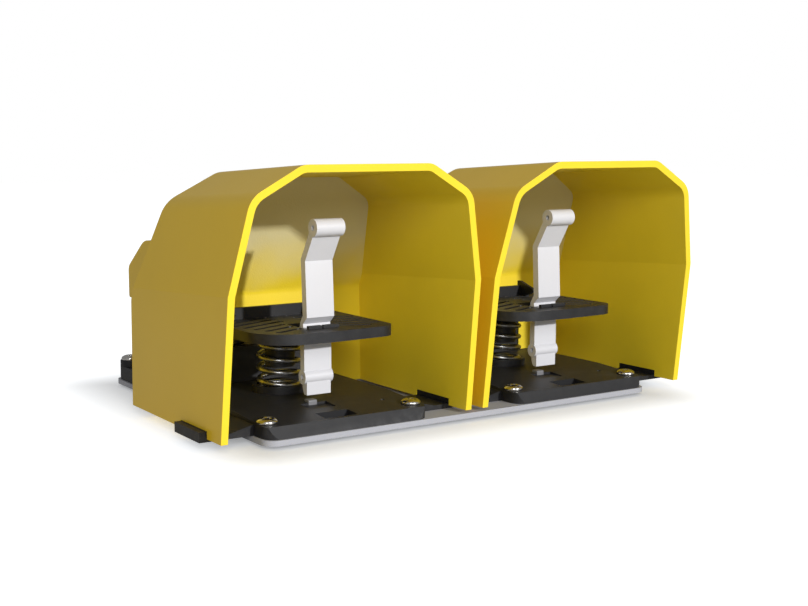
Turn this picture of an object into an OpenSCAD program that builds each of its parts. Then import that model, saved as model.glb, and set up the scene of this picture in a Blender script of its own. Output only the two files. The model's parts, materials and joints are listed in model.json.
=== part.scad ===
// Twin industrial foot switch: two guarded pedals side by side on one steel plate.
// Each unit is drawn about its own centre plane (x = 0) with y = 0 at the bottom front of its
// guard hood, then set at half the pitch to either side. Millimetres, +Z up, floor at z = 0.

/* [Layout] */
// Space left between the side tabs of the two units
unit_gap = 0.4; // [0.3:0.1:40]
// Clearance between pieces that move past each other
gap = 0.3; // [0.2:0.05:0.4]

/* [Mounting plate] */
// Thickness of the steel plate
plate_t = 3; // [2:0.5:6]
// How far the plate stands out past the bases
plate_margin = 1.2; // [0.5:0.1:5]
// Corner radius of the plate
plate_r = 8; // [2:1:15]
// Height of the rubber feet
foot_h = 2; // [1:0.5:8]
// Diameter of the rubber feet
foot_d = 16; // [8:1:24]

/* [Base] */
// How far the base stands out past the housing on each side
base_side = 11.5; // [10.5:0.5:14]
// How far the front edge of the base lies behind the hood's bottom front
base_front = 1.5; // [0:0.5:4]
// How far the base stands out past the housing at the back
base_rear = 2; // [1:0.5:12]
// Height of the base at its front edge
base_front_h = 6.4; // [5.5:0.1:7.5]
// Height of the base where it is level
base_h = 8.9; // [8.5:0.1:12]
// Where the sloping front part ends
ramp_end = 45; // [42:0.5:50]
// How far the front face leans back
base_draft = 3; // [0:0.5:4]
// Wall of the base
base_wall = 2.6; // [2:0.1:3.5]
// Corner radius of the base
base_r = 8; // [3:0.5:8]
// Thickness of the side tabs
tab_t = 2.6; // [1.6:0.1:4]
// Length of a side tab, front to back
tab_len = 31; // [15:1:34]
// Front end of the side tabs
tab_y = 17.5; // [14:0.5:24]
// Height of a tab's outer end, which carries the hood
tab_end_h = 5.5; // [4.5:0.1:9]
// How far a tab's end stands out past the hood
tab_proud = 3.7; // [1.5:0.1:3.8]
// Width of the well for the latch foot
well_w = 20; // [17:0.5:24]
// Front end of the well
well_front = 7; // [6:0.5:9]
// Length of the well, front to back
well_len = 11; // [9:0.5:14]
// Depth of the well
well_depth = 4; // [3:0.1:4.5]

/* [Guard hood] */
// Outside width of the hood at its bottom
hood_w = 153.6; // [150:0.1:153.8]
// How far each side comes in by its kink
kink_in = 0.8; // [0.1:0.1:4]
// Height of the kink
kink_z = 81.2; // [72:0.1:92]
// How far each side comes in by the upper corners
shoulder_in = 10.8; // [7:0.1:17]
// Height of the upper corners
shoulder_z = 129; // [118:0.1:134]
// How far each side comes in by the edges of the roof
roof_in = 38.5; // [32:0.5:46]
// Height of the roof at the front
roof_z = 144.7; // [139:0.1:150]
// Wall of the hood
hood_wall = 3.9; // [2.5:0.1:5]
// Height of the hood's lower edge
hood_z = 6.8; // [6:0.1:8]
// How far the rim leans forward between its bottom and the roof
rim_lean = 17.1; // [0:0.1:25]
// Fall of the roof towards the rear, in degrees
roof_fall = 3.2; // [0:0.1:5]
// Outside of the hood's rear wall
hood_depth = 116.5; // [115.5:0.5:119]
// Height at which the rear wall starts to lean forward
knee_z = 68; // [62:0.5:76]
// Lean of the upper rear wall from the vertical, in degrees
rear_lean = 27.2; // [18:0.2:32]
// Radius of the upper corners
shoulder_r = 14; // [5:0.5:20]
// Radius of the roof's edges
roof_r = 12; // [5:0.5:20]
// Radius of the rear knee
knee_r = 12; // [4:0.5:20]
// Wall of the cover over the switch housing
cover_wall = 3; // [2:0.1:3.2]
// Height of that cover
cover_z = 95.2; // [88:0.2:105]
// How far that cover reaches past the housing at the back
cover_rear = 1.5; // [1.5:0.5:6]
// Height at which the cover's rear edge starts to slope
cover_rear_z = 76.5; // [75:0.5:82]
// Length of that slope, front to back
cover_slope = 27.5; // [22:0.5:32]

/* [Switch housing] */
// Outside width of the housing
housing_w = 77; // [75:0.5:78]
// How far the housing's front lies ahead of the outside of the hood's rear wall
housing_lap = 4; // [3.5:0.5:5]
// Length of the housing, front to back
housing_len = 97.5; // [93.5:0.5:110]
// Height of the housing's top edge
housing_top = 56.3; // [56:0.1:58]
// Wall of the housing
housing_wall = 3; // [2.4:0.1:3.4]
// Wall at the cable entry
rear_wall = 4; // [3:0.5:6]
// Thickness of the housing's floor
floor_t = 2.5; // [2:0.1:4]
// Thickness of the lid
lid_t = 3; // [2:0.1:4]
// Thickness of the gasket
gasket_t = 1; // [0.6:0.1:1.5]
// Diameter of the cable entry
entry_d = 20.4; // [16.2:0.1:24]
// Height of the cable entry's centre
entry_z = 33; // [29:0.5:38]

/* [Pedal] */
// Width of the pedal
pedal_w = 82; // [76:1:96]
// Front edge of the pedal
pedal_front = 18; // [15:0.5:22]
// Bow of the front edge
pedal_bow = 2.5; // [1:0.1:4]
// Rear edge of the tread
tread_back = 96; // [95:0.5:99]
// Height of the tread's top
tread_z = 55.3; // [54.6:0.1:56]
// Thickness of the tread
tread_t = 3; // [2.4:0.1:4]
// Height of the skirt round the tread
skirt_h = 5.8; // [4.5:0.1:8]
// Radius of the left front corner
pedal_left_r = 24; // [8:1:26]
// Radius of the right front corner
pedal_right_r = 10.5; // [8:0.5:26]
// Width of a grip groove
groove_w = 3.2; // [2:0.1:4.5]
// Depth of the grip grooves
groove_depth = 1.5; // [0.5:0.1:2]
// Distance between grip grooves
groove_pitch = 9.3; // [8:0.1:10]
// Grip grooves on each side
groove_count = 6; // [3:1:6]
// Slant of the grip grooves, in degrees
groove_slant = 23; // [0:1:28]
// Height of the heel stop above the tread
heel_h = 6.5; // [3:0.1:9]
// How far the heel stop reaches to the right
heel_x = 20; // [14:0.5:24]
// How far it reaches to the left
heel_left = 31; // [28:0.5:36]
// Front face of the heel stop
heel_y = 88; // [84:0.5:90]
// Thickness of the heel stop
heel_t = 3; // [2:0.1:4]
// Height of the rib in front of the latch slot
rib_h = 1.8; // [0.8:0.1:2.5]
// Travel of the pedal, in degrees
travel = 9; // [7:0.1:9]

/* [Pedal hinge] */
// Diameter of the axle
axle_d = 6; // [4:0.5:7]
// Distance of the axle behind the hood's rear wall
axle_back = 23.5; // [22.5:0.5:25.5]
// Height of the axle
axle_z = 44; // [43.5:0.1:44.5]
// Diameter of the pedal's hubs
hub_d = 14; // [11:0.5:15]
// Thickness of the pedal's arms
arm_t = 6; // [4:0.5:7]
// Distance between the insides of the arms
arm_gap = 32; // [31:0.5:34]
// Radial clearance of pins and screws in their bores
pin_gap = 0.05; // [0.02:0.01:0.1]

/* [Return spring] */
// Outside diameter of the return spring
spring_d = 25.6; // [24:0.2:27]
// Wire diameter of the return spring
spring_wire = 3; // [2.4:0.1:3.2]
// Distance of the spring's centre from the hood's bottom front
spring_y = 77.8; // [76:0.2:79]
// Turns of the return spring
spring_turns = 5.9; // [4.5:0.1:6.5]
// Height of the lower edge of the pedal's guide inside the spring
guide_z = 28.5; // [27:0.5:34]
// Gap between that guide and the wire
guide_gap = 0.5; // [0.4:0.1:1]
// Height of the rim round the spring's seat
seat_h = 4.2; // [2:0.1:6]
// Wall of that rim
seat_wall = 2.2; // [1.5:0.1:3]

/* [Latch lever] */
// Width of the latch lever
latch_w = 17; // [14:0.5:17]
// Thickness of the latch lever
latch_t = 4.4; // [3.4:0.1:4.8]
// Diameter of the top barrel
knob_d = 9.6; // [7:0.1:11]
// Length of the top barrel
knob_len = 17.4; // [17:0.1:24]
// Height of the top barrel's centre
knob_z = 110.3; // [104:0.1:114]
// Height of the lever's upper bend
bend_z = 91.8; // [86:0.1:96]
// Height at which the lever steps back to its pin
step_z = 61.1; // [60:0.1:64]
// How far the lever's front steps forward above its pin
step_out = 3.5; // [2:0.1:4]
// Height of the foot's lower edge
toe_z = 18; // [17.4:0.1:19]
// Diameter of the latch pin
latch_pin_d = 3; // [2.5:0.1:3.4]
// Width of the stop under the latch foot
stop_w = 5.4; // [4:0.1:8]
// Height of the stop's top
stop_z = 15; // [14.4:0.1:16]

/* [Screws] */
// Diameter of the base screws
base_screw_d = 5; // [4:0.5:6]
// Head diameter of the base screws
base_head_d = 11; // [9:0.5:11]
// Distance of the front base screws from the side of the base
front_screw_inset = 5.5; // [5.5:0.5:8]
// Distance of the front base screws from the hood's bottom front
front_screw_y = 13; // [12:0.5:14]
// Diameter of the housing, lid and hood screws
small_screw_d = 4; // [3:0.5:4]

/* [Hidden] */
UNIT_NODES = ["base", "base_screws", "latch_stop", "hood", "hood_screws", "switch_housing",
    "housing_screws", "lid_gasket", "housing_lid", "lid_screws", "pedal", "pedal_axle",
    "axle_spacers", "axle_clips", "return_spring", "latch_lever", "latch_pin", "latch_spring",
    "contact_block", "contact_cover", "block_screws", "terminal_screws", "fixed_contacts",
    "plunger", "contact_bridge", "plunger_spring"];
$fn = 64;

black = "#1b1b1d";
yellow = "#e2bf1c";
steel = "#9a9ca0";
pale_grey = "#dcdce2";
brass = "#b8913f";
lilac_grey = "#c3bfcd";

// widths, and places front to back
housing_front = hood_depth - housing_lap;
housing_back = housing_front + housing_len;
cover_back = housing_back + cover_rear;
base_back = housing_back + base_rear;
axle_y = hood_depth + axle_back;
kink_w = hood_w - 2 * kink_in;
shoulder_w = hood_w - 2 * shoulder_in;
roof_w = hood_w - 2 * roof_in;
base_w = housing_w + 2 * base_side;
front_screw_pitch = base_w - 2 * front_screw_inset;
pitch = hood_w + 2 * tab_proud + unit_gap;

// levels
plate_z = foot_h;
base_z = foot_h + plate_t;
base_top = base_z + base_h;
base_front_top = base_z + base_front_h;
floor_top = base_top + floor_t;
lid_z = housing_top + gasket_t;
lid_top = lid_z + lid_t;
tread_under = tread_z - tread_t;
skirt_z = tread_z - skirt_h;

// hood outline
rim_slope = rim_lean / (roof_z - hood_z);
hood_skirt = 30;
cover_w = housing_w + 2 * cover_wall - 2;
cover_edge_z = housing_top + gap;
notch_z = base_z + tab_end_h + gap;

// screws
small_head_d = small_screw_d * 2;
small_head_h = small_screw_d * 0.6;
hood_screw_x = 28;
hood_screw_z = lid_top + 7.7;
hood_boss_back = cover_back - cover_wall - 0.1;
pillar_x = housing_w / 2 - 7.5;
lid_front = hood_depth + gap;
pillar_ys = [lid_front + small_head_d / 2 + 1, housing_back - 8];
housing_screw_ys = [housing_front + 45.5, housing_back - 22];
rear_boss_h = 3.8;
rear_boss_r = base_head_d / 2 + 0.7;
rear_screw = [housing_w / 2 + gap + rear_boss_r, base_back - 11];
base_head_h = 3.2;
ramp_slope = (base_h - base_front_h) / (ramp_end - base_front - base_draft);
front_seat_z = base_front_top + (front_screw_y - base_front - base_draft) * ramp_slope - 0.3;

// overall depth, and the middle that is set on y = 0
rear_end = max(cover_back + small_head_h, base_back + plate_margin);
y_mid = (rear_end - rim_lean) / 2;

// pedal and latch
arm_mid = (arm_gap + arm_t) / 2;
window_w = arm_gap + 2 * arm_t + 5;
window_top = housing_top - 3;
arm_top = window_top - gap;
arm_under = 40;
latch_pin = [43, tread_under - 0.5];
latch_slot = [33, 56];
latch_slot_w = latch_w + 2;
lug_t = 4.5;
lever_front = 38;
stop_x = -3.3;
stop_y = lever_front;
spring_x = stop_x;
stop_len = 5;
nose_r = 3;
plunger_y = axle_y - 16;
block_w = 40;
block_d = 15;
block_h = 15;
block_front = plunger_y - block_d / 2;
block_z = floor_top;
block_top = block_z + block_h;
cover_t = 2;
plunger_top = axle_z - 4 - nose_r - gap;
plunger_d = 6;
terminal_x = 17;
bridge_t = 1;
bridge_z = block_z + 9.6;
strip_t = 0.8;
nc_z = bridge_z + bridge_t + gap;
no_z = block_z + 6;

function unit_vec(v) = v / norm(v);
// Arc of radius r that rounds the corner p between the points a and b, in n steps
function corner_arc(p, a, b, r, n) = r <= 0 ? [p] :
    let (u = unit_vec(a - p), v = unit_vec(b - p), half = acos(u * v) / 2,
         centre = p + unit_vec(u + v) * r / sin(half),
         from = p + u * r / tan(half) - centre, to = p + v * r / tan(half) - centre,
         a0 = atan2(from[1], from[0]), turn = atan2(to[1], to[0]) - a0,
         sweep = turn > 180 ? turn - 360 : turn < -180 ? turn + 360 : turn)
    [for (i = [0:n]) centre + r * [cos(a0 + sweep * i / n), sin(a0 + sweep * i / n)]];
// Outline through pts with its corners rounded to the radii given
function rounded(pts, radii, n = 8) = let (m = len(pts))
    [for (i = [0:m - 1], q = corner_arc(pts[i], pts[(i + m - 1) % m], pts[(i + 1) % m], radii[i], n)) q];
// Convex outline moved inwards by w
function inset(pts, w) = let (m = len(pts))
    [for (i = [0:m - 1])
        let (u = unit_vec(pts[(i + m - 1) % m] - pts[i]), v = unit_vec(pts[(i + 1) % m] - pts[i]))
        pts[i] + unit_vec(u + v) * w / sin(acos(u * v) / 2)];
function less(radii, w) = [for (r = radii) r > 0 ? max(r - w, 0.4) : 0];
// Interval of a width about a middle, and of a length from a start
function around(middle, width) = [middle - width / 2, middle + width / 2];
function from(start, length) = [start, start + length];
function rect(x0, x1, y0, y1) = [[x0, y0], [x1, y0], [x1, y1], [x0, y1]];
// Height above the sloping line through the hood's bottom front, of a point on the rim
function rim_level(z) = (z - hood_z) * (cos(roof_fall) - rim_slope * sin(roof_fall));
// Height of a point of the pedal, given from the axle, at the end of the travel
function pressed_z(y, z) = axle_z + y * sin(travel) + z * cos(travel);

module along_x(width) rotate([90, 0, 90]) linear_extrude(width, center = true) children();
module along_y(length) rotate([90, 0, 0]) translate([0, 0, -length]) linear_extrude(length) children();
module box(x, y, z) translate([x[0], y[0], z[0]]) cube([x[1] - x[0], y[1] - y[0], z[1] - z[0]]);
module both_sides() { children(); mirror([1, 0, 0]) children(); }
module bore_x(d, width) rotate([0, 90, 0]) cylinder(d = d, h = width, center = true);

// Pan-head screw with a cross recess, its head resting on z = 0 and its shank below
module pan_screw(d, head_d, head_h, length) {
    recess_w = head_d * 0.12;
    recess_l = head_d * 0.56;
    difference() {
        rotate_extrude() polygon([[0, 0], [head_d / 2, 0], [head_d / 2, head_h * 0.45],
            [head_d * 0.44, head_h * 0.78], [head_d * 0.3, head_h], [0, head_h]]);
        for (a = [0, 90]) rotate([0, 0, a])
            translate([-recess_l / 2, -recess_w / 2, head_h * 0.4]) cube([recess_l, recess_w, head_h]);
    }
    translate([0, 0, -length]) cylinder(d = d, h = length + 0.1);
}

// Round wire wound about +Z from z = 0, its first and last turns laid close
module coil(mean_r, wire_d, height, turns, steps = 28, sides = 8) {
    n = round(turns * steps);
    rise = height - wire_d;
    function lift(t) = let (close = 0.75 / turns, k = wire_d * 1.02 / rise)
        t < close ? t / close * k * 0.75
        : t > 1 - close ? 1 - (1 - t) / close * k * 0.75
        : k * 0.75 + (t - close) / (1 - 2 * close) * (1 - 1.5 * k);
    points = [for (i = [0:n]) let (a = 360 * turns * i / n, z = wire_d / 2 + rise * lift(i / n))
        for (j = [0:sides - 1]) let (b = 360 * j / sides, r = mean_r + wire_d / 2 * cos(b))
            [r * cos(a), r * sin(a), z + wire_d / 2 * sin(b)]];
    walls = [for (i = [0:n - 1], j = [0:sides - 1]) let (k = (j + 1) % sides)
        [i * sides + j, i * sides + k, (i + 1) * sides + k, (i + 1) * sides + j]];
    first = [[for (j = [sides - 1:-1:0]) j]];
    last = [[for (j = [0:sides - 1]) n * sides + j]];
    polyhedron(points, concat(walls, first, last), convexity = 10);
}

// ---- plate and feet ----

plate_x = pitch / 2 + base_w / 2 + plate_margin;
plate_y = [base_front - plate_margin, base_back + plate_margin];
base_screw_xy = concat([for (s = [-1, 1]) [s * front_screw_pitch / 2, front_screw_y]],
    [for (s = [-1, 1]) [s * rear_screw[0], rear_screw[1]]]);

module mounting_plate() color(lilac_grey) difference() {
    translate([0, -y_mid, plate_z]) linear_extrude(plate_t)
        polygon(rounded(rect(-plate_x, plate_x, plate_y[0], plate_y[1]), [for (i = [0:3]) plate_r]));
    for (side = [-1, 1], p = base_screw_xy) translate([side * pitch / 2 + p[0], p[1] - y_mid, 0])
        cylinder(d = base_screw_d + 2 * pin_gap, h = base_z + 1);
}

foot_inset = foot_d / 2 + 16;

module rubber_feet() color(black)
    for (x = [-1, 0, 1], y = [plate_y[0] + foot_inset, plate_y[1] - foot_inset])
        translate([x * (plate_x - foot_inset), y - y_mid, 0]) cylinder(d = foot_d, h = foot_h);

// ---- base ----

tab_end = hood_w / 2 + tab_proud;
well_x = around(stop_x, well_w);
well_z = base_front_top + well_front * ramp_slope - well_depth;
trough_z = base_front_top + 0.8;
trough_len = 11.6;
seat_r = spring_d / 2 + gap + seat_wall;
drain = [base_w / 2 - 15.3, 26.7];

module base_body(w) intersection() {
    along_x(base_w - 2 * w) polygon([[base_front + w, base_z - w], [base_front + base_draft + w,
        base_front_top - w], [ramp_end, base_top - w], [base_back - w, base_top - w],
        [base_back - w, base_z - w]]);
    translate([0, 0, base_z - w]) linear_extrude(base_h) polygon(rounded(
        rect(w - base_w / 2, base_w / 2 - w, base_front + w, base_back - w), [for (i = [0:3]) base_r]));
}

module base_pads() translate([0, 0, base_z]) {
    for (p = base_screw_xy) translate(p) cylinder(d = base_head_d + 2, h = base_h);
    for (x = [-pillar_x, pillar_x], y = housing_screw_ys) translate([x, y]) cylinder(r = 5, h = base_h);
    box(well_x + [-2, 2], [well_front - 2, well_front + well_len + 2], [0, base_h]);
    box(around(stop_x, 20), [stop_y - trough_len - 2, stop_y + stop_len + 3], [0, base_h]);
    translate([spring_x, spring_y]) difference() {
        cylinder(r = seat_r, h = base_h);
        cylinder(r = seat_r - 6, h = base_h);
    }
    for (x = [-28, 28]) box([x - 1, x + 1], [base_front + 3, base_back - 3], [0, base_h]);
}

module side_tab() translate([0, tab_y, 0]) along_y(tab_len) polygon([[base_w / 2 - 2, base_z],
    [tab_end, base_z], [tab_end, base_z + tab_end_h], [hood_w / 2 - hood_wall, base_z + tab_end_h],
    [hood_w / 2 - hood_wall, base_z + tab_t], [base_w / 2 + 14, base_z + tab_t],
    [base_w / 2 - 2, base_front_top]]);

module base() color(black) difference() {
    union() {
        difference() {
            base_body(0);
            difference() {
                base_body(base_wall);
                base_pads();
            }
        }
        both_sides() side_tab();
        translate([spring_x, spring_y, base_top - 0.2]) difference() {
            cylinder(r = seat_r, h = seat_h + 0.2);
            cylinder(r = spring_d / 2 + gap, h = seat_h + 1);
        }
        for (x = [-1, 1]) translate([x * rear_screw[0], rear_screw[1], base_top - 0.2])
            cylinder(r = rear_boss_r, h = rear_boss_h + 0.2);
    }
    box(well_x, [well_front, well_front + well_len], [well_z, base_top + 1]);
    box(around(stop_x, 16), [stop_y - trough_len, stop_y], [trough_z, base_top + 1]);
    box(around(stop_x, stop_w), from(stop_y, stop_len), [base_z + 2, base_top + 1]);
    for (p = base_screw_xy) translate([p[0], p[1], 0])
        cylinder(d = base_screw_d + 2 * pin_gap, h = base_top + rear_boss_h + 1);
    for (x = [-1, 1]) translate([x * front_screw_pitch / 2, front_screw_y, front_seat_z])
        cylinder(d = base_head_d + 2 * gap, h = 10);
    for (x = [-pillar_x, pillar_x], y = housing_screw_ys) translate([x, y, base_z + 1])
        cylinder(d = small_screw_d + 2 * pin_gap, h = base_h);
    translate([drain[0], drain[1], base_z + base_h / 2]) cylinder(d = 2.4, h = base_h);
}

module base_screws() color(steel) {
    for (x = [-1, 1]) translate([x * front_screw_pitch / 2, front_screw_y, front_seat_z])
        rotate([0, 0, 20 + x * 25])
            pan_screw(base_screw_d, base_head_d, base_head_h, front_seat_z - plate_z);
    for (x = [-1, 1]) translate([x * rear_screw[0], rear_screw[1], base_top + rear_boss_h])
        pan_screw(base_screw_d, base_head_d, base_head_h, base_top + rear_boss_h - plate_z);
}

module latch_stop() color(pale_grey) difference() {
    box(around(stop_x, stop_w), from(stop_y, stop_len), [base_z + 2, stop_z]);
    translate([stop_x, stop_y, stop_z]) rotate([45, 0, 0]) cube([stop_w + 1, 0.8, 0.8], center = true);
}

// ---- guard hood ----

hood_section = [[hood_w / 2, -hood_skirt], [hood_w / 2, 0], [kink_w / 2, rim_level(kink_z)],
    [shoulder_w / 2, rim_level(shoulder_z)], [roof_w / 2, rim_level(roof_z)],
    [-roof_w / 2, rim_level(roof_z)], [-shoulder_w / 2, rim_level(shoulder_z)],
    [-kink_w / 2, rim_level(kink_z)], [-hood_w / 2, 0], [-hood_w / 2, -hood_skirt]];
section_r = [0, 0, 4, shoulder_r, roof_r, roof_r, shoulder_r, 4, 0, 0];
rim_over = 40;
side_top = roof_z + rim_over;
far = cover_back + rim_over;
hood_side = [[0, hood_z], [hood_depth, hood_z], [hood_depth, knee_z],
    [hood_depth - (side_top - knee_z) * tan(rear_lean), side_top],
    [-rim_slope * (side_top - hood_z), side_top]];
cover_side = [[hood_depth - rim_over, cover_edge_z], [cover_back, cover_edge_z],
    [cover_back, cover_rear_z], [cover_back - cover_slope, cover_z], [hood_depth - rim_over, cover_z]];
cover_r = [0, 1.5, 6, 20, 0];

// Solid inside the hood's surface when w = 0, and inside its wall otherwise
module hood_body(w) intersection() {
    translate([0, 0, hood_z]) rotate([-roof_fall, 0, 0]) translate([0, -far, 0]) along_y(2 * far)
        polygon(rounded(inset(hood_section, w), less(section_r, w)));
    along_x(hood_w + 10) polygon(rounded(w > 0 ? [[-far, hood_z - 5], [hood_depth - w, hood_z - 5],
        [hood_depth - w, knee_z - w * tan(rear_lean / 2)],
        [hood_depth - w - (side_top - knee_z) * tan(rear_lean), side_top - w * tan(rear_lean / 2)],
        [-far, side_top]] : hood_side, [0, 0, max(knee_r - w, 1), 0, 0]));
}

module cover_body(w) intersection() {
    along_x(cover_w - 2 * w) polygon(w > 0
        ? rounded([[hood_depth - rim_over, cover_edge_z - 1], [cover_back - w, cover_edge_z - 1],
            [cover_back - w, cover_rear_z - w * 0.3], [cover_back - cover_slope - w * 0.4, cover_z - w],
            [hood_depth - rim_over, cover_z - w]], less(cover_r, w))
        : rounded(cover_side, cover_r));
    behind_wall(w > 0 ? 0 : hood_wall / 2);
}

// Everything behind a face that lies at the given depth in the hood's rear wall
module behind_wall(depth) along_x(cover_w + 2) polygon([[hood_depth - depth, 0], [far, 0],
    [far, side_top], [hood_depth - depth - (side_top - knee_z) * tan(rear_lean), side_top],
    [hood_depth - depth, knee_z]]);

module hood() color(yellow) difference() {
    union() {
        hood_body(0);
        cover_body(0);
    }
    hood_body(hood_wall);
    cover_body(cover_wall);
    // openings for the housing and the base in the rear wall
    box([-housing_w / 2 - gap, housing_w / 2 + gap], [hood_depth - 20, hood_depth + 5],
        [0, cover_edge_z]);
    box([-base_w / 2 - 0.6, base_w / 2 + 0.6], [hood_depth - 20, hood_depth + 5], [0, base_top + 0.4]);
    both_sides() box([hood_w / 2 - hood_wall - 4, hood_w / 2 + 4],
        [tab_y - 1, tab_y + tab_len + 1], [0, notch_z]);
    for (x = [-1, 1]) translate([x * hood_screw_x, cover_back + 1, hood_screw_z]) rotate([90, 0, 0])
        cylinder(d = small_screw_d + 2 * pin_gap, h = cover_wall + 2);
}

module hood_screws() color(steel) for (x = [-1, 1])
    translate([x * hood_screw_x, cover_back, hood_screw_z]) rotate([-90, 0, 0])
        pan_screw(small_screw_d, small_head_d, small_head_h, cover_wall + 7);

// ---- switch housing ----

boss_x = housing_w / 2 - 6.5;
ledge_back = lid_front + 2.7;
window_z = [pressed_z(housing_front - axle_y, arm_under - axle_z) - gap - 0.1, window_top];

module housing_outline(w) polygon(rounded(rect(w - housing_w / 2, housing_w / 2 - w,
    housing_front + w, housing_back - max(w, w > 0 ? rear_wall : 0)), [1, 1, 3, 3]));

module switch_housing() color(black) difference() {
    union() {
        difference() {
            translate([0, 0, base_top]) linear_extrude(housing_top - base_top) housing_outline(0);
            translate([0, 0, floor_top]) linear_extrude(housing_top) housing_outline(housing_wall);
        }
        box([1 - housing_w / 2, housing_w / 2 - 1], [housing_front + 1, ledge_back],
            [window_top, housing_top]);
        both_sides() for (y = pillar_ys)
            box([pillar_x - 4, housing_w / 2 - 1], around(y, 8), [floor_top - 0.5, housing_top]);
        both_sides() translate([(boss_x + housing_w / 2 - 1) / 2, axle_y, axle_z])
            bore_x(axle_d + 6, housing_w / 2 - 1 - boss_x);
    }
    box([-window_w / 2, window_w / 2], [housing_front - 1, housing_front + housing_wall + 1], window_z);
    translate([0, axle_y, axle_z]) bore_x(axle_d + 2 * pin_gap, housing_w + 2);
    for (x = [-1, 1], y = pillar_ys) translate([x * pillar_x, y, housing_top - 14])
        cylinder(d = small_screw_d + 2 * pin_gap, h = 20);
    for (x = [-1, 1], y = housing_screw_ys) translate([x * pillar_x, y, base_top - 1])
        cylinder(d = small_screw_d + 2 * pin_gap, h = 10);
    for (x = [-1, 1]) translate([x * block_screw_x, block_screw_y, base_top - 1])
        cylinder(d = block_screw_d + 2 * pin_gap, h = 10);
    translate([0, housing_back + 1, entry_z]) rotate([90, 0, 0]) cylinder(d = entry_d, h = rear_wall + 2);
}

module housing_screws() color(steel) for (x = [-1, 1], y = housing_screw_ys)
    translate([x * pillar_x, y, floor_top])
        pan_screw(small_screw_d, small_head_d, small_head_h, floor_top - base_z - 1);

lid_rect = rect(-housing_w / 2 + 1.5, housing_w / 2 - 1.5, lid_front, housing_back - 2);

module lid_outline() polygon(rounded(lid_rect, [2, 2, 3, 3]));

module lid_gasket() color(black) translate([0, 0, housing_top]) linear_extrude(gasket_t) difference() {
    union() {
        difference() {
            lid_outline();
            polygon(inset(lid_rect, 2.6));
        }
        for (x = [-1, 1], y = pillar_ys) translate([x * pillar_x, y]) circle(r = 4);
    }
    for (x = [-1, 1], y = pillar_ys) translate([x * pillar_x, y]) circle(d = small_screw_d + 0.4);
}

module housing_lid() color(black) difference() {
    union() {
        translate([0, 0, lid_z]) linear_extrude(lid_t) lid_outline();
        for (x = [-1, 1]) box(around(x * hood_screw_x, 10), [hood_boss_back - 8.4, hood_boss_back],
            [lid_top - 1, hood_screw_z + 5]);
    }
    for (x = [-1, 1], y = pillar_ys) translate([x * pillar_x, y, lid_z - 1])
        cylinder(d = small_screw_d + 0.4, h = lid_t + 2);
    for (x = [-1, 1], y = pillar_ys) translate([x * pillar_x, y, lid_top - 0.01])
        cylinder(d = small_head_d + 1, h = 20);
    for (x = [-1, 1]) translate([x * hood_screw_x, hood_boss_back + 1, hood_screw_z])
        rotate([90, 0, 0]) cylinder(d = small_screw_d + 2 * pin_gap, h = 12);
}

module lid_screws() color(steel) for (x = [-1, 1], y = pillar_ys) translate([x * pillar_x, y, lid_top])
    pan_screw(small_screw_d, small_head_d, small_head_h, lid_t + gasket_t + 12);

// ---- pedal and its hinge ----

pedal_rect = [[-pedal_w / 2, tread_back], [-pedal_w / 2, pedal_front + pedal_bow], [0, pedal_front],
    [pedal_w / 2, pedal_front + pedal_bow], [pedal_w / 2, tread_back]];
pedal_radii = [4, pedal_left_r, 120, pedal_right_r, 4];
heel_back = heel_y + heel_t;
heel_top = tread_z + heel_h;

module pedal_outline(w) polygon(rounded(inset(pedal_rect, w), less(pedal_radii, w), 12));

// Outer end of grip groove number k, counted from the front, on the left and on the right
function groove_end(side, k) = let (reach = pedal_w / 2 - 4)
    side < 0 ? (k < groove_count - 1 ? min(reach, 27.7 + 2.5 * k) : reach - 6.3)
    : (k == 0 ? 28.5 : k < groove_count - 1 ? reach : reach - 8);
function groove_start(k) = k < 3 ? latch_slot_w / 2 + 2.5 : 7;

module groove(side, k) {
    outer = groove_end(side, k);
    middle = (outer + groove_start(k)) / 2;
    half = (outer - groove_start(k)) / 2 / cos(groove_slant);
    translate([side * middle, pedal_front + 15.9 + k * groove_pitch + (20 - middle) * tan(groove_slant),
        tread_z - groove_depth]) rotate([0, 0, -side * groove_slant]) linear_extrude(tread_t) {
        square([2 * half, groove_w], center = true);
        for (s = [-1, 1]) translate([s * half, 0]) circle(d = groove_w);
    }
}

// The arms start behind the return spring
arm_start = max(tread_back - 10.5,
    spring_y + sqrt(max(0, pow(spring_d / 2 + gap + abs(spring_x), 2) - pow(arm_gap / 2, 2))));

// Half a tube, open to the rear, so that it swings clear of the spring
module spring_guide() translate([spring_x, spring_y, guide_z]) intersection() {
    guide_r = spring_d / 2 - spring_wire - guide_gap;
    difference() {
        cylinder(r = guide_r, h = tread_under - guide_z + 0.5);
        translate([0, 0, -1]) cylinder(r = guide_r - 2, h = tread_under - guide_z + 1.5);
    }
    translate([-spring_d, -spring_d - 1, -1]) cube([2 * spring_d, spring_d, 40]);
}

module arm() translate([arm_mid, 0, 0]) {
    along_x(arm_t) polygon([[arm_start, tread_under + 0.4], [arm_start, tread_under - 2],
        [tread_back, arm_under],
        [plunger_y - nose_r, arm_under], [plunger_y - nose_r, arm_under - 2], [axle_y, axle_z - hub_d / 2],
        [axle_y, axle_z + hub_d / 2], [housing_front + 7, arm_top], [tread_back - 2, arm_top],
        [tread_back - 2, tread_under + 0.4]]);
    translate([0, axle_y, axle_z]) bore_x(hub_d, arm_t);
}

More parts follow.
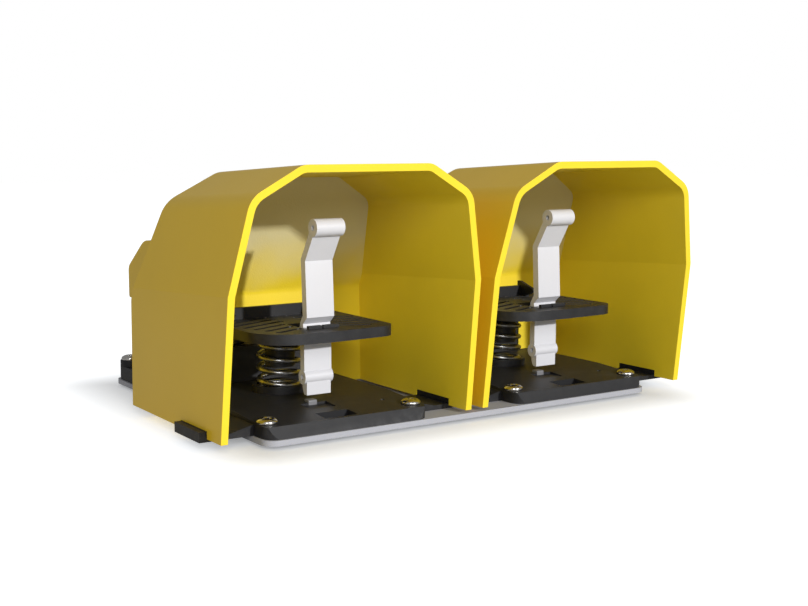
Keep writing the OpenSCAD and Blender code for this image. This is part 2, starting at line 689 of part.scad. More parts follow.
module pedal() color(black) difference() {
    union() {
        translate([0, 0, tread_under]) linear_extrude(tread_t) pedal_outline(0);
        translate([0, 0, skirt_z]) linear_extrude(skirt_h - 0.5) difference() {
            pedal_outline(0);
            pedal_outline(2.6);
        }
        box([-heel_left, heel_x], [heel_y, heel_back], [tread_z - 0.5, heel_top]);
        for (x = [-heel_left - 1, heel_x + 1]) translate([x, 0, 0])
            along_x(2) polygon([[heel_back, tread_z - 0.5],
            [heel_back, heel_top + 3], [heel_y + 0.5, heel_top + 3], [heel_y - 12.5, heel_top - 1],
            [heel_y - 13, heel_top - 2], [heel_y - 7.5, tread_z - 0.5]]);
        for (x = [[-latch_slot_w / 2, -1.4], [-0.2, latch_slot_w / 2]])
            box(x, [latch_slot[0] - 2.2, latch_slot[0]], [tread_z - 0.5, tread_z + rib_h]);
        both_sides() arm();
        translate([0, plunger_y, axle_z - 4]) bore_x(2 * nose_r, 2 * arm_mid);
        box([-arm_mid, arm_mid], [plunger_y - nose_r, plunger_y + nose_r], [axle_z - 4, axle_z + 2]);
        both_sides() box([latch_slot_w / 2, latch_slot_w / 2 + lug_t],
            around(latch_pin[0], 9), [latch_pin[1] - 4.5, tread_under + 0.5]);
        spring_guide();
    }
    box([-latch_slot_w / 2, latch_slot_w / 2], latch_slot, [skirt_z - 1, tread_z + 1]);
    for (side = [-1, 1], k = [0:groove_count - 1]) groove(side, k);
    translate([0, axle_y, axle_z]) bore_x(axle_d + 2 * pin_gap, pedal_w);
    translate([0, latch_pin[0], latch_pin[1]]) bore_x(latch_pin_d + 2 * pin_gap, 2 * latch_pin_half);
}

clip_x = boss_x - 0.9;
clip_t = 0.8;

module pedal_axle() color(steel) translate([0, axle_y, axle_z]) difference() {
    bore_x(axle_d, housing_w - 0.6);
    both_sides() translate([clip_x + clip_t / 2, 0, 0]) rotate([0, 90, 0]) difference() {
        cylinder(d = axle_d + 1, h = clip_t + 0.1, center = true);
        cylinder(d = axle_d * 0.76, h = clip_t + 1, center = true);
    }
}

module axle_spacers() color(steel) both_sides()
    translate([(arm_mid + arm_t / 2 + gap + clip_x - 0.1) / 2, axle_y, axle_z]) difference() {
        bore_x(axle_d + 3, clip_x - 0.1 - arm_mid - arm_t / 2 - gap);
        bore_x(axle_d + 2 * pin_gap, 20);
    }

module axle_clips() color(steel) both_sides()
    translate([clip_x + clip_t / 2, axle_y, axle_z]) difference() {
        bore_x(axle_d + 5, clip_t);
        bore_x(axle_d * 0.76 + 0.1, 2);
        translate([-1, -axle_d * 0.3, 0]) cube([2, axle_d * 0.6, 10]);
    }

module return_spring() color(steel) translate([spring_x, spring_y, base_top + 0.1])
    rotate([0, 0, 220]) mirror([0, 1, 0])
    coil((spring_d - spring_wire) / 2, spring_wire, tread_under - base_top - 0.2, spring_turns);

// ---- latch ----

latch_pin_half = latch_slot_w / 2 + lug_t;
step_y = lever_front - step_out;
bend_y = step_y + 1.5;
knob = [lever_front - 11, knob_z];
foot_barrel = [lever_front + latch_t / 2, 27.8];
foot_barrel_d = 8;
toe_w = 15;
boss_r = latch_pin_d / 2 + 1.9;

module latch_lever() color(pale_grey) difference() {
    union() {
        along_x(latch_w) polygon([[knob[0] - latch_t * 0.45, knob[1] - 1], [bend_y, bend_z],
            [step_y, step_z], [lever_front + 1, step_z - 3.8], [lever_front, latch_pin[1]],
            [lever_front, foot_barrel[1]], [lever_front + latch_t, foot_barrel[1]],
            [lever_front + latch_t, step_z - 3.8], [step_y + latch_t + 0.4, step_z + 0.9],
            [bend_y + latch_t + 0.4, bend_z + 0.8], [knob[0] + latch_t * 0.45, knob[1] + 1]]);
        translate([0, knob[0], knob[1]]) bore_x(knob_d, knob_len);
        translate([0, latch_pin[0], latch_pin[1]]) bore_x(2 * boss_r, latch_w);
        translate([0, foot_barrel[0], foot_barrel[1]]) bore_x(foot_barrel_d, latch_w + 0.5);
        along_x(toe_w) polygon([[lever_front - 1, foot_barrel[1]], [lever_front - 0.8, toe_z],
            [lever_front + 2, toe_z], [lever_front + 3.2, toe_z + 1.6],
            [lever_front + latch_t + 1, foot_barrel[1]]]);
    }
    both_sides() translate([knob_len / 2, knob[0], knob[1]]) bore_x(3, 8);
    both_sides() translate([latch_w / 2, foot_barrel[0], foot_barrel[1]]) bore_x(3, 8);
    translate([0, latch_pin[0], latch_pin[1]]) {
        bore_x(latch_pin_d + 2 * pin_gap, latch_w + 2);
        bore_x(2 * boss_r + 0.1, latch_spring_len);
    }
}

latch_spring_len = 6.4;
latch_spring_wire = 0.7;

module latch_pin() color(steel) translate([0, latch_pin[0], latch_pin[1]])
    bore_x(latch_pin_d, 2 * latch_pin_half - 0.4);

module latch_spring() color(steel) translate([-latch_spring_len / 2 + 0.3, latch_pin[0], latch_pin[1]])
    rotate([0, 90, 0]) coil(latch_pin_d / 2 + 0.3 + latch_spring_wire / 2, latch_spring_wire,
        latch_spring_len - 0.6, 6, 20, 6);

// ---- contact block ----

block_screw_d = 3;
block_screw_x = 11;
block_screw_y = block_front + block_d + 4;
well_half = 13.5;
tab_pair = [[block_front + 1.5, plunger_y - 0.5], [plunger_y + 0.5, block_front + block_d - 1.5]];

module contact_block() color(black) difference() {
    union() {
        box([-block_w / 2, block_w / 2], [block_front, block_front + block_d], [block_z, block_top]);
        box([-block_screw_x - 5, block_screw_x + 5], [block_front + block_d - 1, block_screw_y + 4],
            [block_z, block_z + 3]);
    }
    difference() {
        box([-block_w, block_w], [block_front + 1.5, block_front + block_d - 1.5],
            [block_z + 2, block_top + 1]);
        both_sides() box([well_half, block_w], [tab_pair[0][0] - 1, tab_pair[0][1]], [0, nc_z]);
        both_sides() box([well_half, block_w], [tab_pair[1][0], tab_pair[1][1] + 1], [0, no_z]);
        both_sides() box([well_half, block_w], [tab_pair[0][1], tab_pair[1][0]], [0, block_top]);
    }
    for (x = [-1, 1]) translate([x * block_screw_x, block_screw_y, 0])
        cylinder(d = block_screw_d + 2 * pin_gap, h = block_top);
    both_sides() for (s = [0, 1]) translate([terminal_x, terminal_y(s), block_z + 1])
        cylinder(d = block_screw_d + 2 * pin_gap, h = block_h);
}

function terminal_y(s) = (tab_pair[s][0] + tab_pair[s][1]) / 2;

module contact_cover() color(pale_grey) difference() {
    box([-well_half, well_half], [block_front, block_front + block_d], [block_top, block_top + cover_t]);
    translate([0, plunger_y, block_top - 1]) cylinder(d = plunger_d + 2 * pin_gap, h = cover_t + 2);
}

module block_screws() color(steel) for (x = [-1, 1]) translate([x * block_screw_x, block_screw_y, block_z + 3])
    pan_screw(block_screw_d, 5.6, 2, block_z + 3 - base_top);

module terminal_screws() color(steel) both_sides() for (s = [0, 1])
    translate([terminal_x, terminal_y(s), (s == 0 ? nc_z : no_z) + strip_t])
        pan_screw(block_screw_d, 4.6, 1.6, 3.5);

module fixed_contacts() color(brass) both_sides() for (s = [0, 1]) difference() {
    box([8, block_w / 2 - 0.5], tab_pair[s], from(s == 0 ? nc_z : no_z, strip_t));
    translate([terminal_x, terminal_y(s), block_z]) cylinder(d = block_screw_d + 2 * pin_gap, h = block_h);
}

module plunger() color(pale_grey) translate([0, plunger_y, 0]) {
    translate([0, 0, bridge_z + bridge_t]) cylinder(d = plunger_d, h = plunger_top - bridge_z - bridge_t - 1);
    translate([0, 0, plunger_top - 1.01]) cylinder(d1 = plunger_d, d2 = plunger_d - 2, h = 1.01);
    translate([0, 0, bridge_z - 2]) cylinder(d = 3, h = 4);
}

module contact_bridge() color(brass) difference() {
    box([-12, 12], [plunger_y - 4, plunger_y + 4], [bridge_z, bridge_z + bridge_t]);
    translate([0, plunger_y, bridge_z - 1]) cylinder(d = 3 + 2 * pin_gap, h = 4);
}

module plunger_spring() color(steel) translate([0, plunger_y, block_z + 2.05])
    coil(2.4, 0.6, bridge_z - block_z - 2.1, 5, 16, 6);

// ---- placing ----

module at_unit(side) translate([side * pitch / 2, -y_mid, 0]) children();

mounting_plate();
rubber_feet();
at_unit(-1) base();  // left_base
at_unit(-1) base_screws();  // left_base_screws
at_unit(-1) latch_stop();  // left_latch_stop
at_unit(-1) hood();  // left_hood
at_unit(-1) hood_screws();  // left_hood_screws
at_unit(-1) switch_housing();  // left_switch_housing
at_unit(-1) housing_screws();  // left_housing_screws
at_unit(-1) lid_gasket();  // left_lid_gasket
at_unit(-1) housing_lid();  // left_housing_lid
at_unit(-1) lid_screws();  // left_lid_screws
at_unit(-1) pedal();  // left_pedal
at_unit(-1) pedal_axle();  // left_pedal_axle
at_unit(-1) axle_spacers();  // left_axle_spacers
at_unit(-1) axle_clips();  // left_axle_clips
at_unit(-1) return_spring();  // left_return_spring
at_unit(-1) latch_lever();  // left_latch_lever
at_unit(-1) latch_pin();  // left_latch_pin
at_unit(-1) latch_spring();  // left_latch_spring
at_unit(-1) contact_block();  // left_contact_block
at_unit(-1) contact_cover();  // left_contact_cover
at_unit(-1) block_screws();  // left_block_screws
at_unit(-1) terminal_screws();  // left_terminal_screws
at_unit(-1) fixed_contacts();  // left_fixed_contacts
at_unit(-1) plunger();  // left_plunger
at_unit(-1) contact_bridge();  // left_contact_bridge
at_unit(-1) plunger_spring();  // left_plunger_spring
at_unit(1) base();  // right_base
at_unit(1) base_screws();  // right_base_screws
at_unit(1) latch_stop();  // right_latch_stop
at_unit(1) hood();  // right_hood
at_unit(1) hood_screws();  // right_hood_screws
at_unit(1) switch_housing();  // right_switch_housing
at_unit(1) housing_screws();  // right_housing_screws
at_unit(1) lid_gasket();  // right_lid_gasket
at_unit(1) housing_lid();  // right_housing_lid
at_unit(1) lid_screws();  // right_lid_screws
at_unit(1) pedal();  // right_pedal
at_unit(1) pedal_axle();  // right_pedal_axle
at_unit(1) axle_spacers();  // right_axle_spacers
at_unit(1) axle_clips();  // right_axle_clips
at_unit(1) return_spring();  // right_return_spring
at_unit(1) latch_lever();  // right_latch_lever
at_unit(1) latch_pin();  // right_latch_pin
at_unit(1) latch_spring();  // right_latch_spring
at_unit(1) contact_block();  // right_contact_block
at_unit(1) contact_cover();  // right_contact_cover
at_unit(1) block_screws();  // right_block_screws
at_unit(1) terminal_screws();  // right_terminal_screws
at_unit(1) fixed_contacts();  // right_fixed_contacts
at_unit(1) plunger();  // right_plunger
at_unit(1) contact_bridge();  // right_contact_bridge
at_unit(1) plunger_spring();  // right_plunger_spring
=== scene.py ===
"""Twin industrial foot switch: the finished look of its mouldings, springs, screws and plate."""

import json
import math

import bmesh
import bpy
import numpy as np
from bpy.props import (
    FloatProperty,
    FloatVectorProperty,
    PointerProperty,
)
from mathutils import Euler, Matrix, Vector

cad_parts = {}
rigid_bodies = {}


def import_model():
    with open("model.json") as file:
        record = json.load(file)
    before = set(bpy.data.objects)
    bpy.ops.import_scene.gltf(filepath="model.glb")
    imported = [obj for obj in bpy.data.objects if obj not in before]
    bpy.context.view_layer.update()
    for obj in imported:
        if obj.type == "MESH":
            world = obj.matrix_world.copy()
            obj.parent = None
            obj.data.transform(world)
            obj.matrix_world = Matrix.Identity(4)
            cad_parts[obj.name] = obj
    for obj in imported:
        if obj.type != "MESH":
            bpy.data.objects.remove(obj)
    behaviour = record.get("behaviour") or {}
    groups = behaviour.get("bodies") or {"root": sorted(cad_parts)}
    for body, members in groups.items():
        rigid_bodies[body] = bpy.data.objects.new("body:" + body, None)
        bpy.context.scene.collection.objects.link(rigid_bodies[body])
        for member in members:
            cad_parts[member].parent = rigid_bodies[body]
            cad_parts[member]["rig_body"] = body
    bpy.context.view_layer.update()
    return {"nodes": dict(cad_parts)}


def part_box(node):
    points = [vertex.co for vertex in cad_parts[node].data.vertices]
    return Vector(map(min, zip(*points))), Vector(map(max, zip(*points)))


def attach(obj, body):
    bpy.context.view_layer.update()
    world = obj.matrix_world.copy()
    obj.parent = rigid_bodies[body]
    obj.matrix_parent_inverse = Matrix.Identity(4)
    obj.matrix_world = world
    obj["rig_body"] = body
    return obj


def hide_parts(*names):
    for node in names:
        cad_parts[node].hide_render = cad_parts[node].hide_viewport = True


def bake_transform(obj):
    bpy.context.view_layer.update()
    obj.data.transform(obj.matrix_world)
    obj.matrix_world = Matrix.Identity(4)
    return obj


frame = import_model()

bl_info = {
    "name": "Twin foot switch",
    "version": (1, 0, 0),
    "blender": (4, 5, 0),
    "location": "View3D > Sidebar > Foot switch",
    "description": "Finishes the pieces of a twin guarded foot switch and sets its stage",
    "category": "Object",
}

SIDES = ("left", "right")
MM = 0.001
SAME_POINT = 0.002 * MM
SAME_PLANE = math.radians(1)
SHARP_EDGE = math.radians(28)


# ---- places taken from the frame ----

def low(node):
    """The lowest corner of a CAD node's box, as an array."""
    return np.array(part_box(node)[0], float)


def high(node):
    """The highest corner of a CAD node's box, as an array."""
    return np.array(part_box(node)[1], float)


def middle(node):
    """The centre of a CAD node's box."""
    return (low(node) + high(node)) / 2


# ---- meshes ----

def ring_faces(rows, columns):
    """Quads between neighbours of a grid of points whose last column joins its first, as an index
    array: point (i, j) has the number i * columns + j."""
    start = np.arange(rows - 1)[:, None] * columns
    j = np.arange(columns)[None, :]
    j_next = (j + 1) % columns
    corners = (start + j, start + j_next, start + columns + j_next, start + columns + j)
    return np.stack(np.broadcast_arrays(*corners), axis=-1).reshape(-1, 4)


def mesh_from(name, points, faces, uv=None):
    """A smooth mesh of the points and faces, with an optional UV map that gives each point its two
    surface parameters."""
    mesh = bpy.data.meshes.new(name)
    mesh.from_pydata(points.reshape(-1, 3).tolist(), [], [list(map(int, face)) for face in faces])
    mesh.update()
    if uv is not None:
        layer = mesh.uv_layers.new(name="along")
        corner_points = np.empty(len(mesh.loops), np.int32)
        mesh.loops.foreach_get("vertex_index", corner_points)
        layer.data.foreach_set("uv", uv.reshape(-1, 2)[corner_points].astype(np.float32).ravel())
    mesh.polygons.foreach_set("use_smooth", np.ones(len(mesh.polygons), bool))
    return mesh


def place(name, mesh, material, body, slot, *nodes):
    """A new object for a finished mesh, which stands for CAD nodes. It rides on a body, or on none."""
    piece = bpy.data.objects.new(name, mesh)
    bpy.context.scene.collection.objects.link(piece)
    mesh.materials.clear()
    mesh.materials.append(material)
    if body is not None:
        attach(piece, body)
    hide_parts(*nodes)
    return piece


def rounded_copy(node, width, segments, material, slot):
    """A copy of a moulding's CAD mesh, merged, with its flat faces joined up and every sharp edge
    rounded to the given radius, as an injection mould or a deburring tool leaves it."""
    source = frame["nodes"][node]
    mesh = source.data.copy()
    work = bmesh.new()
    work.from_mesh(mesh)
    bmesh.ops.remove_doubles(work, verts=work.verts, dist=SAME_POINT)
    bmesh.ops.dissolve_limit(work, angle_limit=SAME_PLANE, verts=work.verts, edges=work.edges)
    work.to_mesh(mesh)
    work.free()
    mesh.polygons.foreach_set("use_smooth", np.ones(len(mesh.polygons), bool))
    piece = place(node + "_moulding", mesh, material, source["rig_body"], slot, node)
    edge = piece.modifiers.new("rounded edges", "BEVEL")
    edge.width = width
    edge.segments = segments
    edge.limit_method = "ANGLE"
    edge.angle_limit = SHARP_EDGE
    edge.miter_outer = "MITER_ARC"
    edge.use_clamp_overlap = True
    shading = piece.modifiers.new("flat faces stay flat", "WEIGHTED_NORMAL")
    shading.mode = "FACE_AREA"
    return piece


def coil_mesh(name, centre, radius, wire, base, height, turns, first, steps=48, sides=14):
    """A left-hand compression spring. Its centre line is the helix (r cos a, r sin a, z(a)), where a
    falls from the first angle as z climbs, slowly along the closed turns at both ends and evenly
    between them. A circle is carried along it, and the two ends are ground flat: no point lies below
    the base or above it by more than the height."""
    closed_turns, closed_climb, end_height = 0.75, 0.82, 0.42
    count = int(round(turns * steps)) + 1
    t = np.linspace(0.0, 1.0, count)[:, None]
    close = closed_turns / turns
    lift = wire * closed_climb / (height - wire)
    even = lift + (t - close) / (1 - 2 * close) * (1 - 2 * lift)
    last_turn = 1 - (1 - t) / close * lift
    rise = np.where(t < close, t / close * lift, np.where(t > 1 - close, last_turn, even))
    angle = first - 2 * math.pi * turns * t
    around = 2 * math.pi * np.arange(sides)[None, :] / sides
    reach = radius + wire / 2 * np.cos(around)
    axis_z = base + wire * end_height + (height - 2 * wire * end_height) * rise
    z = np.clip(axis_z + wire / 2 * np.sin(around), base, base + height)
    points = np.stack([centre[0] + reach * np.cos(angle), centre[1] + reach * np.sin(angle), z], axis=-1)
    length = turns * t * 2 * math.pi * radius
    uv = np.stack(np.broadcast_arrays(length, around / (2 * math.pi)), axis=-1)
    faces = [list(face) for face in ring_faces(count, sides)]
    faces.append(list(range(sides - 1, -1, -1)))
    faces.append([(count - 1) * sides + j for j in range(sides)])
    return mesh_from(name, points, faces, uv)


def cross_recess(x, y, head_r):
    """The depth of a cross recess, from 0 at its rim to 1 in the middle: the deeper of two slots at
    right angles. A slot has soft walls, narrows towards its ends and rises towards them."""
    half_l, end_w, wall_w = head_r * 0.56, head_r * 0.07, head_r * 0.05
    middle_w, narrowing, end_rise = 0.145, 0.05, 0.45

    def slot(along, across):
        outward = np.abs(along) / half_l
        half_w = head_r * (middle_w - narrowing * np.clip(outward, 0, 1))
        ends = np.clip((half_l - np.abs(along)) / end_w, 0, 1)
        walls = np.clip((half_w - np.abs(across)) / wall_w, 0, 1)
        return ends * walls * (1 - end_rise * outward)

    return np.maximum(slot(x, y), slot(y, x))


def pan_head(centre, head_r, head_h, shank_r, shank_z, turn, rings=30, spokes=96):
    """One pan-head screw as a polar grid: the radius runs from the middle of the head out to its rim
    and back along the underside to the shank. The head's height is a crown that rolls over as
    (1 - s^3.2)^0.75, where s is the share of the radius, less the cross recess."""
    rim_h, recess_h = 0.42, 0.72
    spoke = 2 * math.pi * np.arange(spokes)[None, :] / spokes

    def rings_of(radius, height):
        """Rings of points round the axis, from columns of radii and heights."""
        circles = np.broadcast_arrays(radius * np.cos(spoke), radius * np.sin(spoke), height)
        return np.stack(circles, axis=-1)

    s = np.linspace(0.0, 1.0, rings)[:, None] ** 0.85
    crown = head_h * (rim_h + (1 - rim_h) * (1 - s ** 3.2) ** 0.75)
    recess = cross_recess(head_r * s * np.cos(spoke), head_r * s * np.sin(spoke), head_r)
    top = rings_of(head_r * s, crown - recess * head_h * recess_h)
    underside = np.array([[1.0, 0.30], [1.0, 0.08], [0.97, 0.0], [shank_r / head_r * 1.02, 0.0]])
    skirt = rings_of(head_r * underside[:, :1], head_h * underside[:, 1:])
    sides = np.array([[shank_r, 0.0], [shank_r, shank_z + shank_r * 0.3], [shank_r * 0.7, shank_z]])
    shank = rings_of(sides[:, :1], sides[:, 1:])
    points = np.concatenate([top[1:], skirt, shank]).reshape(-1, 3)
    rows = rings - 1 + len(underside) + len(sides)
    j, j_next = np.arange(spokes), (np.arange(spokes) + 1) % spokes
    tip = (rows - 1) * spokes
    crown_fan = np.stack([np.full(spokes, rows * spokes), j, j_next], axis=1)
    tip_fan = np.stack([np.full(spokes, rows * spokes + 1), tip + j_next, tip + j], axis=1)
    points = np.concatenate([points, [[0, 0, top[0, 0, 2]], [0, 0, shank_z]]])
    cos_t, sin_t = math.cos(turn), math.sin(turn)
    turned = points @ np.array([[cos_t, sin_t, 0], [-sin_t, cos_t, 0], [0, 0, 1.0]])
    faces = [list(face[::-1]) for face in ring_faces(rows, spokes)]
    faces += [list(face) for face in (*crown_fan, *tip_fan)]
    return turned + np.array(centre), faces


def joined(name, parts):
    """One mesh of several lists of points and faces."""
    points, faces, start = [], [], 0
    for part_points, part_faces in parts:
        points.append(part_points)
        faces += [[int(index) + start for index in face] for face in part_faces]
        start += len(part_points)
    mesh = mesh_from(name, np.concatenate(points), faces)
    work = bmesh.new()
    work.from_mesh(mesh)
    bmesh.ops.recalc_face_normals(work, faces=work.faces)
    work.to_mesh(mesh)
    work.free()
    return mesh


# ---- materials ----

def new_tree(name):
    """A new node material: its node tree, its Principled shader and its object coordinates."""
    material = bpy.data.materials.new(name)
    material.use_nodes = True
    shader = material.node_tree.nodes["Principled BSDF"]
    coordinates = material.node_tree.nodes.new("ShaderNodeTexCoord")
    return material, material.node_tree, shader, coordinates


def feed(tree, socket, value):
    """Gives a socket a value, or links another node's output to it."""
    if isinstance(value, bpy.types.NodeSocket):
        tree.links.new(value, socket)
    else:
        socket.default_value = value


def add(tree, kind, settings=None, **sockets):
    """A new node with its settings and its inputs. An input is named by its socket, or by i and its
    number where sockets share a name."""
    node = tree.nodes.new(kind)
    for key, value in (settings or {}).items():
        setattr(node, key, value)
    for key, value in sockets.items():
        numbered = key[0] == "i" and key[1:].isdigit()
        feed(tree, node.inputs[int(key[1:]) if numbered else key.replace("_", " ")], value)
    return node


def maths(tree, operation, *values, clamp=False):
    """The result of one Math node."""
    sockets = {f"i{number}": value for number, value in enumerate(values)}
    return add(tree, "ShaderNodeMath", {"operation": operation, "use_clamp": clamp}, **sockets).outputs[0]


def spread(tree, value, low_in, high_in, low_out, high_out):
    """A value mapped from one range to another and held inside it."""
    return add(tree, "ShaderNodeMapRange", None, Value=value, From_Min=low_in, From_Max=high_in,
               To_Min=low_out, To_Max=high_out).outputs[0]


def blended(tree, factor, first, second):
    """Two colours mixed by a factor."""
    node = tree.nodes.new("ShaderNodeMix")
    node.data_type = "RGBA"
    for number, value in ((0, factor), (6, first), (7, second)):
        feed(tree, node.inputs[number], value)
    return node.outputs[2]


def noise(tree, vector, scale, detail=2.0, roughness=0.5):
    """The value of a noise texture of a given number of patches per metre."""
    return add(tree, "ShaderNodeTexNoise", None, Vector=vector, Scale=scale, Detail=detail,
               Roughness=roughness).outputs[0]


def shader_group(name, inputs, outputs):
    """A shader node group: its tree and the nodes that hold its inputs and outputs. A name maps to
    the socket's type and, for an input, its default."""
    group = bpy.data.node_groups.new(name, "ShaderNodeTree")
    for key, (kind, default) in inputs.items():
        socket = group.interface.new_socket(name=key, in_out="INPUT", socket_type=kind)
        if default is not None:
            socket.default_value = default
    for key, kind in outputs.items():
        group.interface.new_socket(name=key, in_out="OUTPUT", socket_type=kind)
    return group, group.nodes.new("NodeGroupInput"), group.nodes.new("NodeGroupOutput")


DUST_COLOUR = (0.45, 0.43, 0.40, 1.0)
NUMBER, COLOUR, VECTOR = "NodeSocketFloat", "NodeSocketColor", "NodeSocketVector"


def moulded_grain_group():
    """The spark-eroded or polished skin of a moulding: fine pits over a slow waviness, and a
    roughness that follows both."""
    group, given, result = shader_group(
        "Moulded grain",
        {"Vector": (VECTOR, None), "Grain Scale": (NUMBER, 2200.0), "Grain": (NUMBER, 0.5),
         "Waviness": (NUMBER, 0.2), "Roughness": (NUMBER, 0.4), "Variation": (NUMBER, 0.08)},
        {"Roughness": NUMBER, "Height": NUMBER})
    vector = given.outputs["Vector"]
    pits = noise(group, vector, given.outputs["Grain Scale"], 3.0, 0.6)
    waves = noise(group, vector, 90.0, 1.0)
    patches = noise(group, vector, 28.0, 4.0, 0.6)
    height = maths(group, "ADD", maths(group, "MULTIPLY", pits, given.outputs["Grain"]),
                   maths(group, "MULTIPLY", waves, given.outputs["Waviness"]))
    mixture = maths(group, "ADD", maths(group, "MULTIPLY", pits, 0.4),
                    maths(group, "MULTIPLY", patches, 0.6))
    swing = maths(group, "MULTIPLY", maths(group, "SUBTRACT", mixture, 0.5),
                  maths(group, "MULTIPLY", given.outputs["Variation"], 2.0))
    group.links.new(maths(group, "ADD", given.outputs["Roughness"], swing, clamp=True),
                    result.inputs["Roughness"])
    group.links.new(height, result.inputs["Height"])
    return group


def colour_drift_group():
    """The slight unevenness of a pigment: broad cloudy patches and fine specks, between a darker and
    a lighter version of the colour."""
    group, given, result = shader_group(
        "Colour drift",
        {"Vector": (VECTOR, None), "Colour": (COLOUR, (0.5, 0.5, 0.5, 1)),
         "Darker": (COLOUR, (0, 0, 0, 1)), "Lighter": (COLOUR, (1, 1, 1, 1)),
         "Clouds": (NUMBER, 0.1), "Specks": (NUMBER, 0.05),
         "Cloud Scale": (NUMBER, 25.0)},
        {"Colour": COLOUR})
    vector = given.outputs["Vector"]
    cloudy = noise(group, vector, given.outputs["Cloud Scale"], 5.0, 0.62)
    clouds = spread(group, cloudy, 0.35, 0.7, 0.0, 1.0)
    specks = spread(group, noise(group, vector, 3100.0, 1.0), 0.52, 0.72, 0.0, 1.0)
    darker = blended(group, maths(group, "MULTIPLY", clouds, given.outputs["Clouds"]),
                     given.outputs["Colour"], given.outputs["Darker"])
    lighter = blended(group, maths(group, "MULTIPLY", specks, given.outputs["Specks"]),
                      darker, given.outputs["Lighter"])
    group.links.new(lighter, result.inputs["Colour"])
    return group


def edge_wear_group():
    """A mask of the convex edges, broken up by noise: partly where hands and shoes rub first, partly a
    painted highlight along the edges.
    """
    group, given, result = shader_group(
        "Edge wear",
        {"Vector": (VECTOR, None), "Amount": (NUMBER, 0.3), "Scale": (NUMBER, 160.0)}, {"Mask": NUMBER})
    shape = group.nodes.new("ShaderNodeNewGeometry")
    edges = spread(group, shape.outputs["Pointiness"], 0.51, 0.6, 0.0, 1.0)
    broken = spread(group, noise(group, given.outputs["Vector"], given.outputs["Scale"], 4.0, 0.7),
                    0.38, 0.68, 0.15, 1.0)
    group.links.new(maths(group, "MULTIPLY", maths(group, "MULTIPLY", edges, broken),
                          given.outputs["Amount"], clamp=True), result.inputs["Mask"])
    return group


def settled_dust_group():
    """Fine dust in uneven patches on faces that look up."""
    group, given, result = shader_group(
        "Settled dust", {"Vector": (VECTOR, None), "Amount": (NUMBER, 0.05)}, {"Mask": NUMBER})
    shape = group.nodes.new("ShaderNodeNewGeometry")
    height = add(group, "ShaderNodeSeparateXYZ", None, Vector=shape.outputs["Normal"]).outputs["Z"]
    upward = spread(group, height, 0.3, 0.95, 0.0, 1.0)
    patches = spread(group, noise(group, given.outputs["Vector"], 55.0, 6.0, 0.7), 0.4, 0.75, 0.25, 1.0)
    group.links.new(maths(group, "MULTIPLY", maths(group, "MULTIPLY", upward, patches),
                          given.outputs["Amount"], clamp=True), result.inputs["Mask"])
    return group


EFFECTS = {
    "Moulded grain": moulded_grain_group,
    "Colour drift": colour_drift_group,
    "Edge wear": edge_wear_group,
    "Settled dust": settled_dust_group,
}


def effect(tree, name, vector, **values):
    """A shared effect placed in a material with its own values."""
    group = bpy.data.node_groups.get(name) or EFFECTS[name]()
    return add(tree, "ShaderNodeGroup", {"node_tree": group}, Vector=vector, **values)


def rgba(colour):
    """A colour with its alpha."""
    return (*colour, 1.0)


def shade(colour, factor):
    """A darker or lighter version of a colour."""
    return rgba([min(1.0, part * factor) for part in colour])


def moulded_plastic(name, colour, roughness, grain, grain_scale, waviness, clouds, wear=0.0, dust=0.0,
                    coat=0.0, bump=0.03 * MM, ior=1.5):
    """A moulded plastic or a painted skin, worked out from the shared effects. Grain, waviness, clouds,
    lighter edges (scuffs and painted highlight) and dust are shares from 0; the grain's scale is pits per
    metre."""
    material, tree, shader, coordinates = new_tree(name)
    vector = coordinates.outputs["Object"]
    skin = effect(tree, "Moulded grain", vector, Grain_Scale=grain_scale, Grain=grain, Waviness=waviness,
                  Roughness=roughness, Variation=0.06 + 0.1 * grain)
    pigment = effect(tree, "Colour drift", vector, Colour=rgba(colour), Darker=shade(colour, 0.72),
                     Lighter=shade(colour, 1.25), Clouds=clouds, Specks=0.12)
    edges = effect(tree, "Edge wear", vector, Amount=wear)
    dusty = effect(tree, "Settled dust", vector, Amount=dust)
    # The lighter edge colour stands partly for scuffing and partly for a painted highlight.
    rubbed_and_highlit = rgba([0.55 * part + 0.3 for part in colour])
    worn_and_highlit = blended(tree, edges.outputs["Mask"], pigment.outputs["Colour"], rubbed_and_highlit)
    coated = blended(tree, dusty.outputs["Mask"], worn_and_highlit, DUST_COLOUR)
    tree.links.new(coated, shader.inputs["Base Color"])
    tree.links.new(skin.outputs["Roughness"], shader.inputs["Roughness"])
    relief = add(tree, "ShaderNodeBump", None, Strength=1.0, Distance=bump, Height=skin.outputs["Height"])
    tree.links.new(relief.outputs[0], shader.inputs["Normal"])
    shader.inputs["IOR"].default_value = ior
    shader.inputs["Coat Weight"].default_value = coat
    shader.inputs["Coat Roughness"].default_value = 0.12
    return material


def worked_metal(name, colour, roughness, lines, line_scale, tint, along=None):
    """A plated or drawn metal. Lines are fine tool marks: across the wire's UV map where it has one,
    otherwise around the vertical, and the plating shifts softly between two tints."""
    material, tree, shader, coordinates = new_tree(name)
    vector = coordinates.outputs["Object"]
    source = coordinates.outputs["UV"] if along else vector
    stretch = along or (1.0, 1.0, 14.0)
    stretched = add(tree, "ShaderNodeMapping", None, Vector=source, Scale=stretch).outputs[0]
    marks = noise(tree, stretched, line_scale, 3.0, 0.65)
    plating = effect(tree, "Colour drift", vector, Colour=rgba(colour), Darker=rgba(tint),
                     Lighter=shade(colour, 1.2), Clouds=0.5, Specks=0.1, Cloud_Scale=120.0)
    tree.links.new(plating.outputs["Colour"], shader.inputs["Base Color"])
    shader.inputs["Metallic"].default_value = 1.0
    uneven = spread(tree, marks, 0.3, 0.75, roughness * 0.7, roughness * 1.4)
    tree.links.new(uneven, shader.inputs["Roughness"])
    relief = add(tree, "ShaderNodeBump", None, Strength=lines, Distance=0.02 * MM, Height=marks)
    tree.links.new(relief.outputs[0], shader.inputs["Normal"])
    return material


# ---- what a user would change ----

